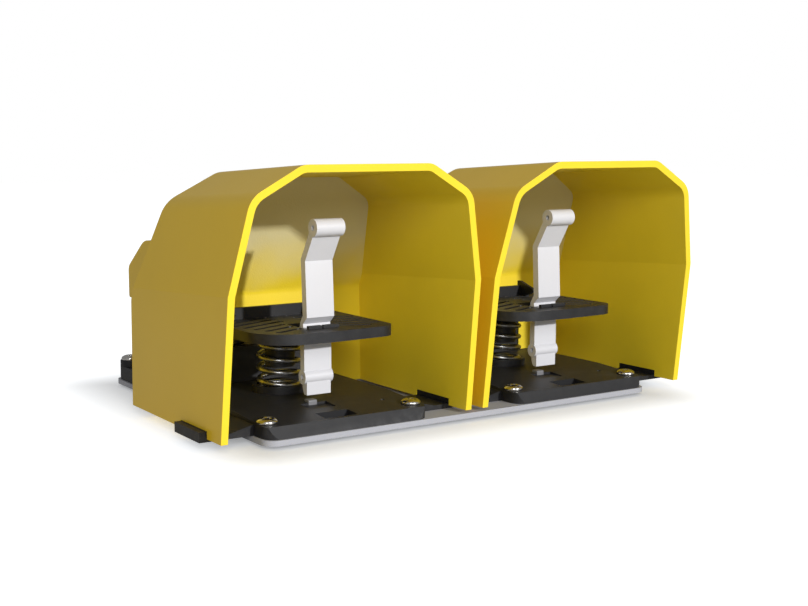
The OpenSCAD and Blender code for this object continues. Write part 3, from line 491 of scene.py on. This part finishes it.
class PlateSettings(bpy.types.PropertyGroup):
    """The steel plate and its feet."""

    colour: FloatVectorProperty(
        name="Plate colour", description="Colour of the powder coat", subtype="COLOR", size=3,
        min=0.0, max=1.0, default=(0.37, 0.375, 0.41))
    edge: FloatProperty(
        name="Edge radius", description="Radius left on the plate's edges by deburring",
        subtype="DISTANCE", unit="LENGTH", default=0.6 * MM, min=0.0, max=1.2 * MM)
    rubber: FloatVectorProperty(
        name="Rubber colour", description="Colour of the feet and the gaskets", subtype="COLOR", size=3,
        min=0.0, max=1.0, default=(0.022, 0.022, 0.023))


class HoodSettings(bpy.types.PropertyGroup):
    """The two guard hoods."""

    colour: FloatVectorProperty(
        name="Hood colour", description="Signal yellow of the moulding", subtype="COLOR", size=3,
        min=0.0, max=1.0, default=(0.88, 0.665, 0.026))
    polished: FloatVectorProperty(
        name="Polished colour", description="Warmer look of the polished outside", subtype="COLOR",
        size=3, min=0.0, max=1.0, default=(0.82, 0.535, 0.016))
    roughness: FloatProperty(
        name="Outside roughness", description="Roughness of the polished outside", default=0.30,
        min=0.0, max=1.0)
    inside_roughness: FloatProperty(
        name="Inside roughness", description="Roughness of the grained inside", default=0.40,
        min=0.0, max=1.0)
    # The next three settings paint a pale sheen, standing in for reflected light, on the leaning rear
    # wall inside a hood.
    painted_sheen: FloatVectorProperty(
        name="Frosted colour", description="Paler look of the coarse-grained wall over the foot",
        subtype="COLOR", size=3, min=0.0, max=1.0, default=(0.74, 0.66, 0.36))
    sheen_from: FloatProperty(
        name="Frost from", description="Height at which the wall over the foot begins to pale",
        subtype="DISTANCE", unit="LENGTH", default=78 * MM, min=0.0)
    sheen_full: FloatProperty(
        name="Frost full", description="Height from which the wall over the foot is wholly pale",
        subtype="DISTANCE", unit="LENGTH", default=112 * MM, min=0.0)
    edge: FloatProperty(
        name="Edge radius", description="Radius on the edges of the rim", subtype="DISTANCE",
        unit="LENGTH", default=1.3 * MM, min=0.0, max=1.8 * MM)


class BlackSettings(bpy.types.PropertyGroup):
    """The black mouldings, bases, housings and pedals, and the stops on the bases."""

    colour: FloatVectorProperty(
        name="Black", description="Colour of the black plastic", subtype="COLOR", size=3,
        min=0.0, max=1.0, default=(0.0095, 0.0095, 0.011))
    roughness: FloatProperty(
        name="Roughness", description="Roughness of the black plastic", default=0.48, min=0.0, max=1.0)
    base_edge: FloatProperty(
        name="Base edge radius", description="Radius on the edges of a base", subtype="DISTANCE",
        unit="LENGTH", default=0.8 * MM, min=0.0, max=1.2 * MM)
    pedal_edge: FloatProperty(
        name="Pedal edge radius", description="Radius on the edges of a pedal", subtype="DISTANCE",
        unit="LENGTH", default=0.5 * MM, min=0.0, max=0.9 * MM)
    stop_edge: FloatProperty(
        name="Stop edge radius", description="Radius on the edges of the stop under a latch lever",
        subtype="DISTANCE", unit="LENGTH", default=0.4 * MM, min=0.0, max=0.8 * MM)
    housing_edge: FloatProperty(
        name="Housing edge radius", description="Radius on the edges of a housing", subtype="DISTANCE",
        unit="LENGTH", default=0.6 * MM, min=0.0, max=1.0 * MM)


class LatchSettings(bpy.types.PropertyGroup):
    """The pale latch levers and what they stand on."""

    colour: FloatVectorProperty(
        name="Lever colour", description="Colour of the pale plastic", subtype="COLOR", size=3,
        min=0.0, max=1.0, default=(0.62, 0.62, 0.65))
    roughness: FloatProperty(
        name="Roughness", description="Roughness of the pale plastic", default=0.38, min=0.0, max=1.0)
    edge: FloatProperty(
        name="Edge radius", description="Radius on the edges of a lever", subtype="DISTANCE",
        unit="LENGTH", default=0.7 * MM, min=0.0, max=1.0 * MM)


class SpringSettings(bpy.types.PropertyGroup):
    """The coil springs under the pedals."""

    colour: FloatVectorProperty(
        name="Wire colour", description="Colour of the drawn wire", subtype="COLOR", size=3,
        min=0.0, max=1.0, default=(0.46, 0.46, 0.46))
    wire: FloatProperty(
        name="Wire", description="Diameter of the return spring's wire", subtype="DISTANCE",
        unit="LENGTH", default=3.0 * MM, min=2.0 * MM, max=3.2 * MM)
    turns: FloatProperty(
        name="Turns", description="Turns of the return spring", default=5.9, min=4.5, max=6.5)
    fine_wire: FloatProperty(
        name="Fine wire", description="Diameter of the contact spring's wire", subtype="DISTANCE",
        unit="LENGTH", default=0.6 * MM, min=0.3 * MM, max=0.8 * MM)
    fine_turns: FloatProperty(
        name="Fine turns", description="Turns of the contact spring", default=5.0, min=3.0, max=7.0)
    first: FloatProperty(
        name="First turn", description="Where the wire starts, as an angle round the spring",
        subtype="ANGLE", unit="ROTATION", default=math.radians(220))


class ScrewSettings(bpy.types.PropertyGroup):
    """The pan-head screws."""

    colour: FloatVectorProperty(
        name="Zinc colour", description="Colour of the bright zinc plate", subtype="COLOR", size=3,
        min=0.0, max=1.0, default=(0.72, 0.70, 0.66))
    base_head: FloatProperty(
        name="Base head height", description="Height of the base screws' heads", subtype="DISTANCE",
        unit="LENGTH", default=3.2 * MM, min=2.0 * MM, max=4.0 * MM)
    base_shank: FloatProperty(
        name="Base shank radius", description="Radius of the base screws' shanks", subtype="DISTANCE",
        unit="LENGTH", default=2.5 * MM, min=1.0 * MM, max=2.5 * MM)
    hood_shank: FloatProperty(
        name="Hood shank radius", description="Radius of the hood screws' shanks", subtype="DISTANCE",
        unit="LENGTH", default=2.0 * MM, min=1.0 * MM, max=2.0 * MM)
    hood_head: FloatProperty(
        name="Hood head height", description="Height of the hood screws' heads", subtype="DISTANCE",
        unit="LENGTH", default=2.4 * MM, min=1.5 * MM, max=3.0 * MM)
    turn: FloatProperty(
        name="Recess turn", description="How far each screw's recess is turned from the last one's",
        subtype="ANGLE", unit="ROTATION", default=math.radians(50), min=0.0, max=math.radians(90))


class WorksSettings(bpy.types.PropertyGroup):
    """The pins, axles and contacts."""

    steel: FloatVectorProperty(
        name="Steel colour", description="Colour of the plated pins and axles", subtype="COLOR", size=3,
        min=0.0, max=1.0, default=(0.52, 0.52, 0.53))
    brass: FloatVectorProperty(
        name="Brass colour", description="Colour of the contacts", subtype="COLOR", size=3,
        min=0.0, max=1.0, default=(0.66, 0.43, 0.13))


class StageSettings(bpy.types.PropertyGroup):
    """The camera, the lamps and the floor."""

    camera: FloatVectorProperty(
        name="Camera", description="Where the camera stands", subtype="TRANSLATION", unit="LENGTH",
        size=3, default=(-0.4164, -0.6536, 0.1559))
    heading: FloatProperty(
        name="Heading", description="How far the camera is turned towards the right", subtype="ANGLE",
        unit="ROTATION", default=math.radians(33.481))
    tilt: FloatProperty(
        name="Tilt", description="How far the camera looks down", subtype="ANGLE", unit="ROTATION",
        default=math.radians(7.333))
    lens: FloatProperty(
        name="Lens", description="Focal length in millimetres on a 36 mm wide sensor", default=56.0,
        min=20.0, max=200.0)
    key_from: FloatVectorProperty(
        name="Key from", description="Direction that the key light comes from", subtype="XYZ", size=3,
        default=(0.23, -1.0, 0.318))
    key: FloatProperty(
        name="Key strength", description="Strength of the key light", default=2.5, min=0.0, max=10.0)
    key_angle: FloatProperty(
        name="Key softness", description="Angle that the key light fills", subtype="ANGLE",
        unit="ROTATION", default=math.radians(2.2))
    ambient: FloatProperty(
        name="Ambient", description="Strength of the light from all round", default=0.25,
        min=0.0, max=2.0)
    mirrored: FloatProperty(
        name="Mirrored", description="Brightness of the surroundings in reflections", default=0.25,
        min=0.0, max=2.0)
    fill_from: FloatVectorProperty(
        name="Fill from", description="Where the soft box near the camera stands",
        subtype="TRANSLATION", unit="LENGTH", size=3, default=(-0.85, -1.7, 0.8))
    side_from: FloatVectorProperty(
        name="Side from", description="Where the soft box at the left stands",
        subtype="TRANSLATION", unit="LENGTH", size=3, default=(-1.9, -0.8, 0.7))
    box_size: FloatProperty(
        name="Soft box size", description="Side of the two soft boxes", subtype="DISTANCE",
        unit="LENGTH", default=0.7, min=0.05, max=4.0)
    fill: FloatProperty(
        name="Fill strength", description="Power of the soft box near the camera, in watts", default=15.0,
        min=0.0, max=100.0)
    side: FloatProperty(
        name="Side strength", description="Power of the soft box at the left, in watts", default=0.6,
        min=0.0, max=100.0)
    glow: FloatProperty(
        name="Floor glow", description="How much brighter than its light the camera sees the floor",
        default=0.96, min=0.0, max=2.0)
    # The next two settings paint a soft shadow on the floor round the plate, by weakening its glow there.
    painted_shadow_glow: FloatProperty(
        name="Glow at the plate", description="The floor's glow next to the object", default=0.20,
        min=0.0, max=2.0)
    painted_shadow_width: FloatProperty(
        name="Glow reach", description="Distance over which the glow weakens towards the object",
        subtype="DISTANCE", unit="LENGTH", default=75 * MM, min=10 * MM, max=1.0)
    floor: FloatProperty(
        name="Floor size", description="Side of the square floor", subtype="DISTANCE", unit="LENGTH",
        default=8.0, min=1.0, max=20.0)


# ---- finishes ----

def finish(name, maker, *values, **named):
    """The material of a name, made the first time that it is asked for."""
    return bpy.data.materials.get(name) or maker(name, *values, **named)


def black_finish(kind="housing"):
    """The black plastic: smoothest on the pedals and coarsest on the bases."""
    look = bpy.context.scene.foot_switch_black
    grain, dust = {"base": (0.6, 0.02), "pedal": (0.35, 0.015), "housing": (0.45, 0.03)}[kind]
    return finish(f"black {kind}", moulded_plastic, look.colour, look.roughness, grain=grain,
                  grain_scale=2400.0, waviness=0.25, clouds=0.25, wear=0.10, dust=dust, ior=1.42)


def pale_finish():
    """The pale grey plastic of the levers."""
    look = bpy.context.scene.foot_switch_latch
    return finish("pale plastic", moulded_plastic, look.colour, look.roughness, grain=0.25,
                  grain_scale=2600.0, waviness=0.3, clouds=0.12, wear=0.05, dust=0.02)


def yellow_outside():
    """The polished outside of a hood."""
    look = bpy.context.scene.foot_switch_hood
    return finish("yellow outside", moulded_plastic, look.polished, look.roughness, grain=0.10,
                  grain_scale=2200.0, waviness=0.5, clouds=0.10, dust=0.015, coat=0.05)


def yellow_inside():
    """The grained inside of a hood."""
    look = bpy.context.scene.foot_switch_hood
    return finish("yellow inside", moulded_plastic, look.colour, look.inside_roughness, grain=1.0,
                  grain_scale=1500.0, waviness=0.4, clouds=0.16, dust=0.02, bump=0.06 * MM)


def yellow_painted_sheen():
    """The leaning rear wall with a painted sheen: its colour pales towards a whitish tone from the knee
    upwards, standing in for light reflected off the coarse grain.
    """
    look = bpy.context.scene.foot_switch_hood
    if "yellow frosted" in bpy.data.materials:
        return bpy.data.materials["yellow frosted"]
    material = moulded_plastic("yellow frosted", look.colour, roughness=0.55, grain=1.4,
                               grain_scale=1100.0, waviness=0.4, clouds=0.20, bump=0.1 * MM)
    tree = material.node_tree
    base = tree.nodes["Principled BSDF"].inputs["Base Color"]
    vector = add(tree, "ShaderNodeTexCoord").outputs["Object"]
    height = add(tree, "ShaderNodeSeparateXYZ", None, Vector=vector).outputs["Z"]
    uneven = maths(tree, "MULTIPLY_ADD", noise(tree, vector, 45.0, 3.0), 20 * MM, height)
    # Painted sheen: the pale colour grows with height on the leaning wall.
    sheen_mask = spread(tree, uneven, look.sheen_from, look.sheen_full, 0.0, 1.0)
    tree.links.new(blended(tree, sheen_mask, base.links[0].from_socket, rgba(look.painted_sheen)), base)
    return material


def shaded_grey_finish():
    """The pale plastic of the stops under the latch levers, darkened to grey as painted shade."""
    look = bpy.context.scene.foot_switch_latch
    # Painted shade: the lever colour darkened to stand for the shadow on the stops.
    grey = [part * 0.28 for part in look.colour]
    return finish("grey plastic", moulded_plastic, grey, look.roughness, grain=0.25,
                  grain_scale=2600.0, waviness=0.3, clouds=0.15, wear=0.05, dust=0.02)


def rubber_finish():
    """The black rubber of the feet and gaskets."""
    look = bpy.context.scene.foot_switch_plate
    return finish("black rubber", moulded_plastic, look.rubber, roughness=0.72, grain=0.8,
                  grain_scale=1800.0, waviness=0.4, clouds=0.3, wear=0.2, dust=0.06)


def painted_finish():
    """The powder coat of the plate."""
    look = bpy.context.scene.foot_switch_plate
    return finish("powder coat", moulded_plastic, look.colour, roughness=0.45, grain=0.3,
                  grain_scale=900.0, waviness=0.8, clouds=0.12, wear=0.25, dust=0.04)


def zinc_finish():
    """The bright zinc plate of the screws."""
    look = bpy.context.scene.foot_switch_screws
    return finish("bright zinc", worked_metal, look.colour, roughness=0.22, lines=0.25,
                  line_scale=600.0, tint=(0.50, 0.49, 0.52))


def wire_finish():
    """The drawn and oiled wire of the springs."""
    look = bpy.context.scene.foot_switch_springs
    return finish("drawn wire", worked_metal, look.colour, roughness=0.32, lines=0.5,
                  line_scale=900.0, tint=(0.20, 0.195, 0.19), along=(1.0, 0.02, 1.0))


def fine_wire_finish():
    """The bright wire of the small springs."""
    look = bpy.context.scene.foot_switch_springs
    return finish("fine wire", worked_metal, look.colour, roughness=0.28, lines=0.3,
                  line_scale=2400.0, tint=(0.16, 0.15, 0.14))


def steel_finish():
    """The plated steel of pins, axles and clips."""
    look = bpy.context.scene.foot_switch_works
    return finish("plated steel", worked_metal, look.steel, roughness=0.3, lines=0.3,
                  line_scale=800.0, tint=(0.36, 0.36, 0.38))


def brass_finish():
    """The stamped brass of the contacts."""
    look = bpy.context.scene.foot_switch_works
    return finish("stamped brass", worked_metal, look.brass, roughness=0.32, lines=0.3,
                  line_scale=700.0, tint=(0.42, 0.25, 0.08))


def recoat(material, *nodes):
    """Gives CAD nodes that keep their own shape a finished material."""
    for node in nodes:
        for material_slot in frame["nodes"][node].material_slots:
            material_slot.material = material


# ---- pieces ----

class FOOTSWITCH_OT_plate(bpy.types.Operator):
    """Finish the mounting plate and its rubber feet"""

    bl_idname = "footswitch.plate"
    bl_label = "Plate and feet"

    def execute(self, context):
        look = context.scene.foot_switch_plate
        rounded_copy("mounting_plate", look.edge, 2, painted_finish(), "plate_paint")
        rounded_copy("rubber_feet", look.edge * 0.8, 2, rubber_finish(), "foot_rubber")
        return {"FINISHED"}


class FOOTSWITCH_OT_bases(bpy.types.Operator):
    """Finish the two black bases and the stops under the latch levers"""

    bl_idname = "footswitch.bases"
    bl_label = "Bases"

    def execute(self, context):
        look = context.scene.foot_switch_black
        for side in SIDES:
            rounded_copy(f"{side}_base", look.base_edge, 2, black_finish("base"), "black_plastic")
            rounded_copy(f"{side}_latch_stop", look.stop_edge, 2, shaded_grey_finish(), "pale_plastic")
        return {"FINISHED"}


def hood_skins(piece, centre):
    """The skin of every face of a hood's copy: 0 outside, 1 inside and 2 on the leaning rear wall. The
    inside is the side and roof faces whose normals turn towards the line through the centre along Y,
    and the faces that look forward, on the rim and the rear wall; where those of the rear wall also
    look down they are the leaning wall."""
    turned_in, looks_forward, looks_down, rear_half = 0.35, -0.4, -0.25, -30 * MM
    count = len(piece.data.polygons)
    normals, centres = np.empty(count * 3), np.empty(count * 3)
    piece.data.polygons.foreach_get("normal", normals)
    piece.data.polygons.foreach_get("center", centres)
    normals, offsets = normals.reshape(-1, 3), centres.reshape(-1, 3) - centre
    inward = -(normals[:, 0] * offsets[:, 0] + normals[:, 2] * offsets[:, 2])
    towards_middle = inward > turned_in * np.hypot(offsets[:, 0], offsets[:, 2])
    faces_front = normals[:, 1] < looks_forward
    # The leaning wall takes the material with the painted sheen.
    leaning = faces_front & (offsets[:, 1] > rear_half) & (normals[:, 2] < looks_down)
    return np.where(leaning, 2, (towards_middle | faces_front).astype(int)).astype(np.int32)


class FOOTSWITCH_OT_hoods(bpy.types.Operator):
    """Finish the two yellow guard hoods, polished outside and grained inside"""

    bl_idname = "footswitch.hoods"
    bl_label = "Guard hoods"

    def execute(self, context):
        look = context.scene.foot_switch_hood
        for side in SIDES:
            hood = rounded_copy(f"{side}_hood", look.edge, 3, yellow_outside(), "yellow_plastic")
            hood.data.materials.append(yellow_inside())
            # The third material is the yellow with a painted sheen, for the leaning rear wall.
            hood.data.materials.append(yellow_painted_sheen())
            below_middle = middle(f"{side}_hood") * (1, 1, 0.9)
            skins = hood_skins(hood, below_middle)
            if len(set(skins.tolist())) < 3:
                raise RuntimeError(f"the inside of the {side} hood wasn't found")
            hood.data.polygons.foreach_set("material_index", skins)
        return {"FINISHED"}


class FOOTSWITCH_OT_housings(bpy.types.Operator):
    """Finish the two switch housings with their lids and gaskets"""

    bl_idname = "footswitch.housings"
    bl_label = "Switch housings"

    def execute(self, context):
        look = context.scene.foot_switch_black
        for side in SIDES:
            for part in ("switch_housing", "housing_lid"):
                rounded_copy(f"{side}_{part}", look.housing_edge, 2, black_finish(), "black_plastic")
            recoat(rubber_finish(), f"{side}_lid_gasket")
        return {"FINISHED"}


class FOOTSWITCH_OT_pedals(bpy.types.Operator):
    """Finish the two pedals"""

    bl_idname = "footswitch.pedals"
    bl_label = "Pedals"

    def execute(self, context):
        look = context.scene.foot_switch_black
        for side in SIDES:
            rounded_copy(f"{side}_pedal", look.pedal_edge, 2, black_finish("pedal"), "black_plastic")
        return {"FINISHED"}


class FOOTSWITCH_OT_levers(bpy.types.Operator):
    """Finish the two latch levers"""

    bl_idname = "footswitch.levers"
    bl_label = "Latch levers"

    def execute(self, context):
        look = context.scene.foot_switch_latch
        for side in SIDES:
            rounded_copy(f"{side}_latch_lever", look.edge, 3, pale_finish(), "pale_plastic")
        return {"FINISHED"}


def wind_spring(node, wire, turns, first, material):
    """One spring wound inside its node's box."""
    bottom, top, centre = low(node), high(node), middle(node)
    mesh = coil_mesh(node + "_wire", centre, (top[0] - bottom[0] - wire) / 2, wire, bottom[2],
                     top[2] - bottom[2], turns, first)
    spring = place(node + "_wire", mesh, material, None, "spring_steel", node)
    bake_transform(spring)


class FOOTSWITCH_OT_springs(bpy.types.Operator):
    """Wind the return springs and the contacts' springs"""

    bl_idname = "footswitch.springs"
    bl_label = "Springs"

    def execute(self, context):
        look = context.scene.foot_switch_springs
        for side in SIDES:
            wind_spring(f"{side}_return_spring", look.wire, look.turns, look.first,
                        wire_finish())
            wind_spring(f"{side}_plunger_spring", look.fine_wire,
                        look.fine_turns, 0.0, fine_wire_finish())
            recoat(fine_wire_finish(), f"{side}_latch_spring")
        return {"FINISHED"}


def solids_of(node, rows):
    """The corners of the like solids in a node: two columns on either side of its middle along X,
    and one row or two on either side of its middle along Y."""
    points = np.empty(len(frame["nodes"][node].data.vertices) * 3)
    frame["nodes"][node].data.vertices.foreach_get("co", points)
    points = points.reshape(-1, 3)
    centre = middle(node)
    found = []
    for column in range(2):
        in_column = (points[:, 0] > centre[0]) == bool(column)
        for row in range(rows):
            in_row = (rows == 1) | ((points[:, 1] > centre[1]) == bool(row))
            here = in_column & in_row
            found.append((points[here].min(axis=0), points[here].max(axis=0)))
    return found


class FOOTSWITCH_OT_screws(bpy.types.Operator):
    """Turn the pan-head screws of the bases and the hoods"""

    bl_idname = "footswitch.screws"
    bl_label = "Screws"

    def execute(self, context):
        look = context.scene.foot_switch_screws
        for side in SIDES:
            upright, level = f"{side}_base_screws", f"{side}_hood_screws"
            parts = []
            for number, (least, most) in enumerate(solids_of(upright, rows=2)):
                head_r = (most[0] - least[0]) / 2
                seat = most[2] - look.base_head
                centre = ((least[0] + most[0]) / 2, (least[1] + most[1]) / 2, seat)
                parts.append(pan_head(centre, head_r, look.base_head, look.base_shank,
                                      least[2] - seat, look.turn * (number + 0.3)))
            place(upright + "_zinc", joined(upright + "_zinc", parts), zinc_finish(), "root",
                  "zinc_screw", upright)
            parts = []
            for number, (least, most) in enumerate(solids_of(level, rows=1)):
                seat = most[1] - look.hood_head
                points, faces = pan_head((0, 0, 0), (most[0] - least[0]) / 2, look.hood_head,
                                         look.hood_shank, least[1] - seat, look.turn * (number + 0.5))
                points = np.stack([points[:, 0], points[:, 2], -points[:, 1]], axis=1)
                parts.append((points + [(least[0] + most[0]) / 2, seat, (least[2] + most[2]) / 2], faces))
            place(level + "_zinc", joined(level + "_zinc", parts), zinc_finish(), "root",
                  "zinc_screw", level)
            recoat(zinc_finish(), *(f"{side}_{part}" for part in (
                "lid_screws", "housing_screws", "block_screws", "terminal_screws")))
        return {"FINISHED"}


class FOOTSWITCH_OT_works(bpy.types.Operator):
    """Finish the axles, pins, plungers and contacts"""

    bl_idname = "footswitch.works"
    bl_label = "Works"

    def execute(self, context):
        for side in SIDES:
            recoat(steel_finish(), *(f"{side}_{part}" for part in (
                "pedal_axle", "axle_spacers", "axle_clips", "latch_pin")))
            recoat(brass_finish(), f"{side}_fixed_contacts", f"{side}_contact_bridge")
            recoat(black_finish(), f"{side}_contact_block")
            recoat(pale_finish(), f"{side}_contact_cover", f"{side}_plunger")
        return {"FINISHED"}


# ---- stage ----

def floor_material(glow, painted_shadow_glow, reach):
    """A white floor that the camera sees a little brighter than its light makes it, so that it meets
    the white background. Over a given distance towards the plate the glow weakens, which paints a
    soft shadow round it, along the distance outside the plate's rectangle: the length of the vector
    (max(|x - middle| - half width, 0), max(|y - middle| - half depth, 0))."""
    material, tree, shader, coordinates = new_tree("white floor")
    half, centre = (high("mounting_plate") - low("mounting_plate")) / 2, middle("mounting_plate")
    spot = add(tree, "ShaderNodeSeparateXYZ", None, Vector=coordinates.outputs["Object"])
    beyond = []
    for axis in (0, 1):
        offset = maths(tree, "ABSOLUTE", maths(tree, "SUBTRACT", spot.outputs[axis], centre[axis]))
        beyond.append(maths(tree, "MAXIMUM", maths(tree, "SUBTRACT", offset, half[axis]), 0.0))
    outside = maths(tree, "SQRT", maths(tree, "MULTIPLY_ADD", beyond[0], beyond[0],
                                        maths(tree, "MULTIPLY", beyond[1], beyond[1])))
    # Painted shadow: the glow falls towards the plate, so the floor darkens round the object.
    painted_shadow_ramp = add(tree, "ShaderNodeMapRange", {"interpolation_type": "SMOOTHERSTEP"}, Value=outside,
               From_Min=-0.4 * reach, From_Max=reach, To_Min=painted_shadow_glow, To_Max=glow).outputs[0]
    shader.inputs["Roughness"].default_value = 0.9
    shader.inputs["Specular IOR Level"].default_value = 0.0
    tone = noise(tree, coordinates.outputs["Object"], 3.0, 2.0)
    tree.links.new(blended(tree, tone, (0.90, 0.90, 0.91, 1.0), (0.93, 0.93, 0.93, 1.0)),
                   shader.inputs["Base Color"])
    seen = tree.nodes.new("ShaderNodeLightPath").outputs["Is Camera Ray"]
    extra = add(tree, "ShaderNodeEmission", None, Color=(0.95, 0.975, 1.0, 1.0),
                Strength=maths(tree, "MULTIPLY", seen, painted_shadow_ramp))
    both = tree.nodes.new("ShaderNodeAddShader")
    tree.links.new(shader.outputs[0], both.inputs[0])
    tree.links.new(extra.outputs[0], both.inputs[1])
    tree.links.new(both.outputs[0], tree.nodes["Material Output"].inputs["Surface"])
    return material


def white_world(ambient, mirrored):
    """A white background for the camera, dimmer surroundings in reflections and an even light for the
    rest."""
    world = bpy.data.worlds.new("studio")
    bpy.context.scene.world = world
    world.use_nodes = True
    tree = world.node_tree
    path = tree.nodes.new("ShaderNodeLightPath")
    seen = maths(tree, "MAXIMUM", path.outputs["Is Camera Ray"], path.outputs["Is Transmission Ray"])
    direct = maths(tree, "MULTIPLY_ADD", seen, 1.0 - ambient, ambient)
    strength = maths(tree, "MULTIPLY_ADD", path.outputs["Is Glossy Ray"], mirrored - ambient, direct)
    tree.links.new(strength, tree.nodes["Background"].inputs["Strength"])
    tree.nodes["Background"].inputs["Color"].default_value = (1, 1, 1, 1)


def soft_box(name, stand, size, power):
    """A square lamp that looks at the middle of the object."""
    aim = Vector((0, 0, 60 * MM))
    lamp = bpy.data.objects.new(name, bpy.data.lights.new(name, "AREA"))
    lamp.data.shape = "SQUARE"
    lamp.data.size = size
    lamp.data.energy = power
    lamp.location = stand
    lamp.rotation_euler = (Vector(stand) - aim).to_track_quat("Z", "Y").to_euler()
    bpy.context.scene.collection.objects.link(lamp)


class FOOTSWITCH_OT_stage(bpy.types.Operator):
    """Set the floor, the lamps and the camera"""

    bl_idname = "footswitch.stage"
    bl_label = "Stage"

    def execute(self, context):
        look = context.scene.foot_switch_stage
        scene = context.scene
        corners = np.array([[-1, -1, 0], [1, -1, 0], [1, 1, 0], [-1, 1, 0]]) * look.floor / 2
        floor = bpy.data.objects.new("floor", mesh_from("floor", corners, [[0, 1, 2, 3]]))
        scene.collection.objects.link(floor)
        material = floor_material(look.glow, look.painted_shadow_glow, look.painted_shadow_width)
        floor.data.materials.append(material)
        white_world(look.ambient, look.mirrored)
        key = bpy.data.objects.new("key", bpy.data.lights.new("key", "SUN"))
        key.data.energy = look.key
        key.data.angle = look.key_angle
        key.rotation_euler = Vector(look.key_from).to_track_quat("Z", "Y").to_euler()
        scene.collection.objects.link(key)
        unlit = bpy.data.collections.new("not lit by the key")
        unlit.objects.link(floor)
        key.light_linking.receiver_collection = unlit
        unlit.collection_objects[0].light_linking.link_state = "EXCLUDE"
        soft_box("fill", look.fill_from, look.box_size, look.fill)
        soft_box("side", look.side_from, look.box_size, look.side)
        camera = bpy.data.objects.new("camera", bpy.data.cameras.new("camera"))
        camera.data.lens = look.lens
        camera.data.sensor_width = 36.0
        camera.location = look.camera
        camera.rotation_euler = Euler((math.pi / 2 - look.tilt, 0.0, -look.heading))
        scene.collection.objects.link(camera)
        scene.camera = camera
        scene.view_settings.view_transform = "Standard"
        return {"FINISHED"}


SETTINGS = {
    "foot_switch_plate": PlateSettings,
    "foot_switch_hood": HoodSettings,
    "foot_switch_black": BlackSettings,
    "foot_switch_latch": LatchSettings,
    "foot_switch_springs": SpringSettings,
    "foot_switch_screws": ScrewSettings,
    "foot_switch_works": WorksSettings,
    "foot_switch_stage": StageSettings,
}
OPERATORS = (
    FOOTSWITCH_OT_stage,
    FOOTSWITCH_OT_plate,
    FOOTSWITCH_OT_bases,
    FOOTSWITCH_OT_hoods,
    FOOTSWITCH_OT_housings,
    FOOTSWITCH_OT_pedals,
    FOOTSWITCH_OT_levers,
    FOOTSWITCH_OT_springs,
    FOOTSWITCH_OT_screws,
    FOOTSWITCH_OT_works,
)


class FOOTSWITCH_PT_pieces(bpy.types.Panel):
    """Lists the pieces and what a user may change of them"""

    bl_label = "Twin foot switch"
    bl_idname = "FOOTSWITCH_PT_pieces"
    bl_space_type = "VIEW_3D"
    bl_region_type = "UI"
    bl_category = "Foot switch"

    def draw(self, context):
        for operator in OPERATORS:
            self.layout.operator(operator.bl_idname)
        for name, group in SETTINGS.items():
            box = self.layout.box()
            box.label(text=group.__doc__)
            for setting in group.__annotations__:
                box.prop(getattr(context.scene, name), setting)


CLASSES = (*SETTINGS.values(), *OPERATORS, FOOTSWITCH_PT_pieces)


def register():
    for cls in CLASSES:
        bpy.utils.register_class(cls)
    for name, group in SETTINGS.items():
        setattr(bpy.types.Scene, name, PointerProperty(type=group))


def unregister():
    for name in SETTINGS:
        delattr(bpy.types.Scene, name)
    for cls in reversed(CLASSES):
        bpy.utils.unregister_class(cls)


def main():
    register()
    for operator in OPERATORS:
        family, name = operator.bl_idname.split(".")
        getattr(getattr(bpy.ops, family), name)()
    bpy.context.view_layer.update()


if __name__ == "__main__":
    main()
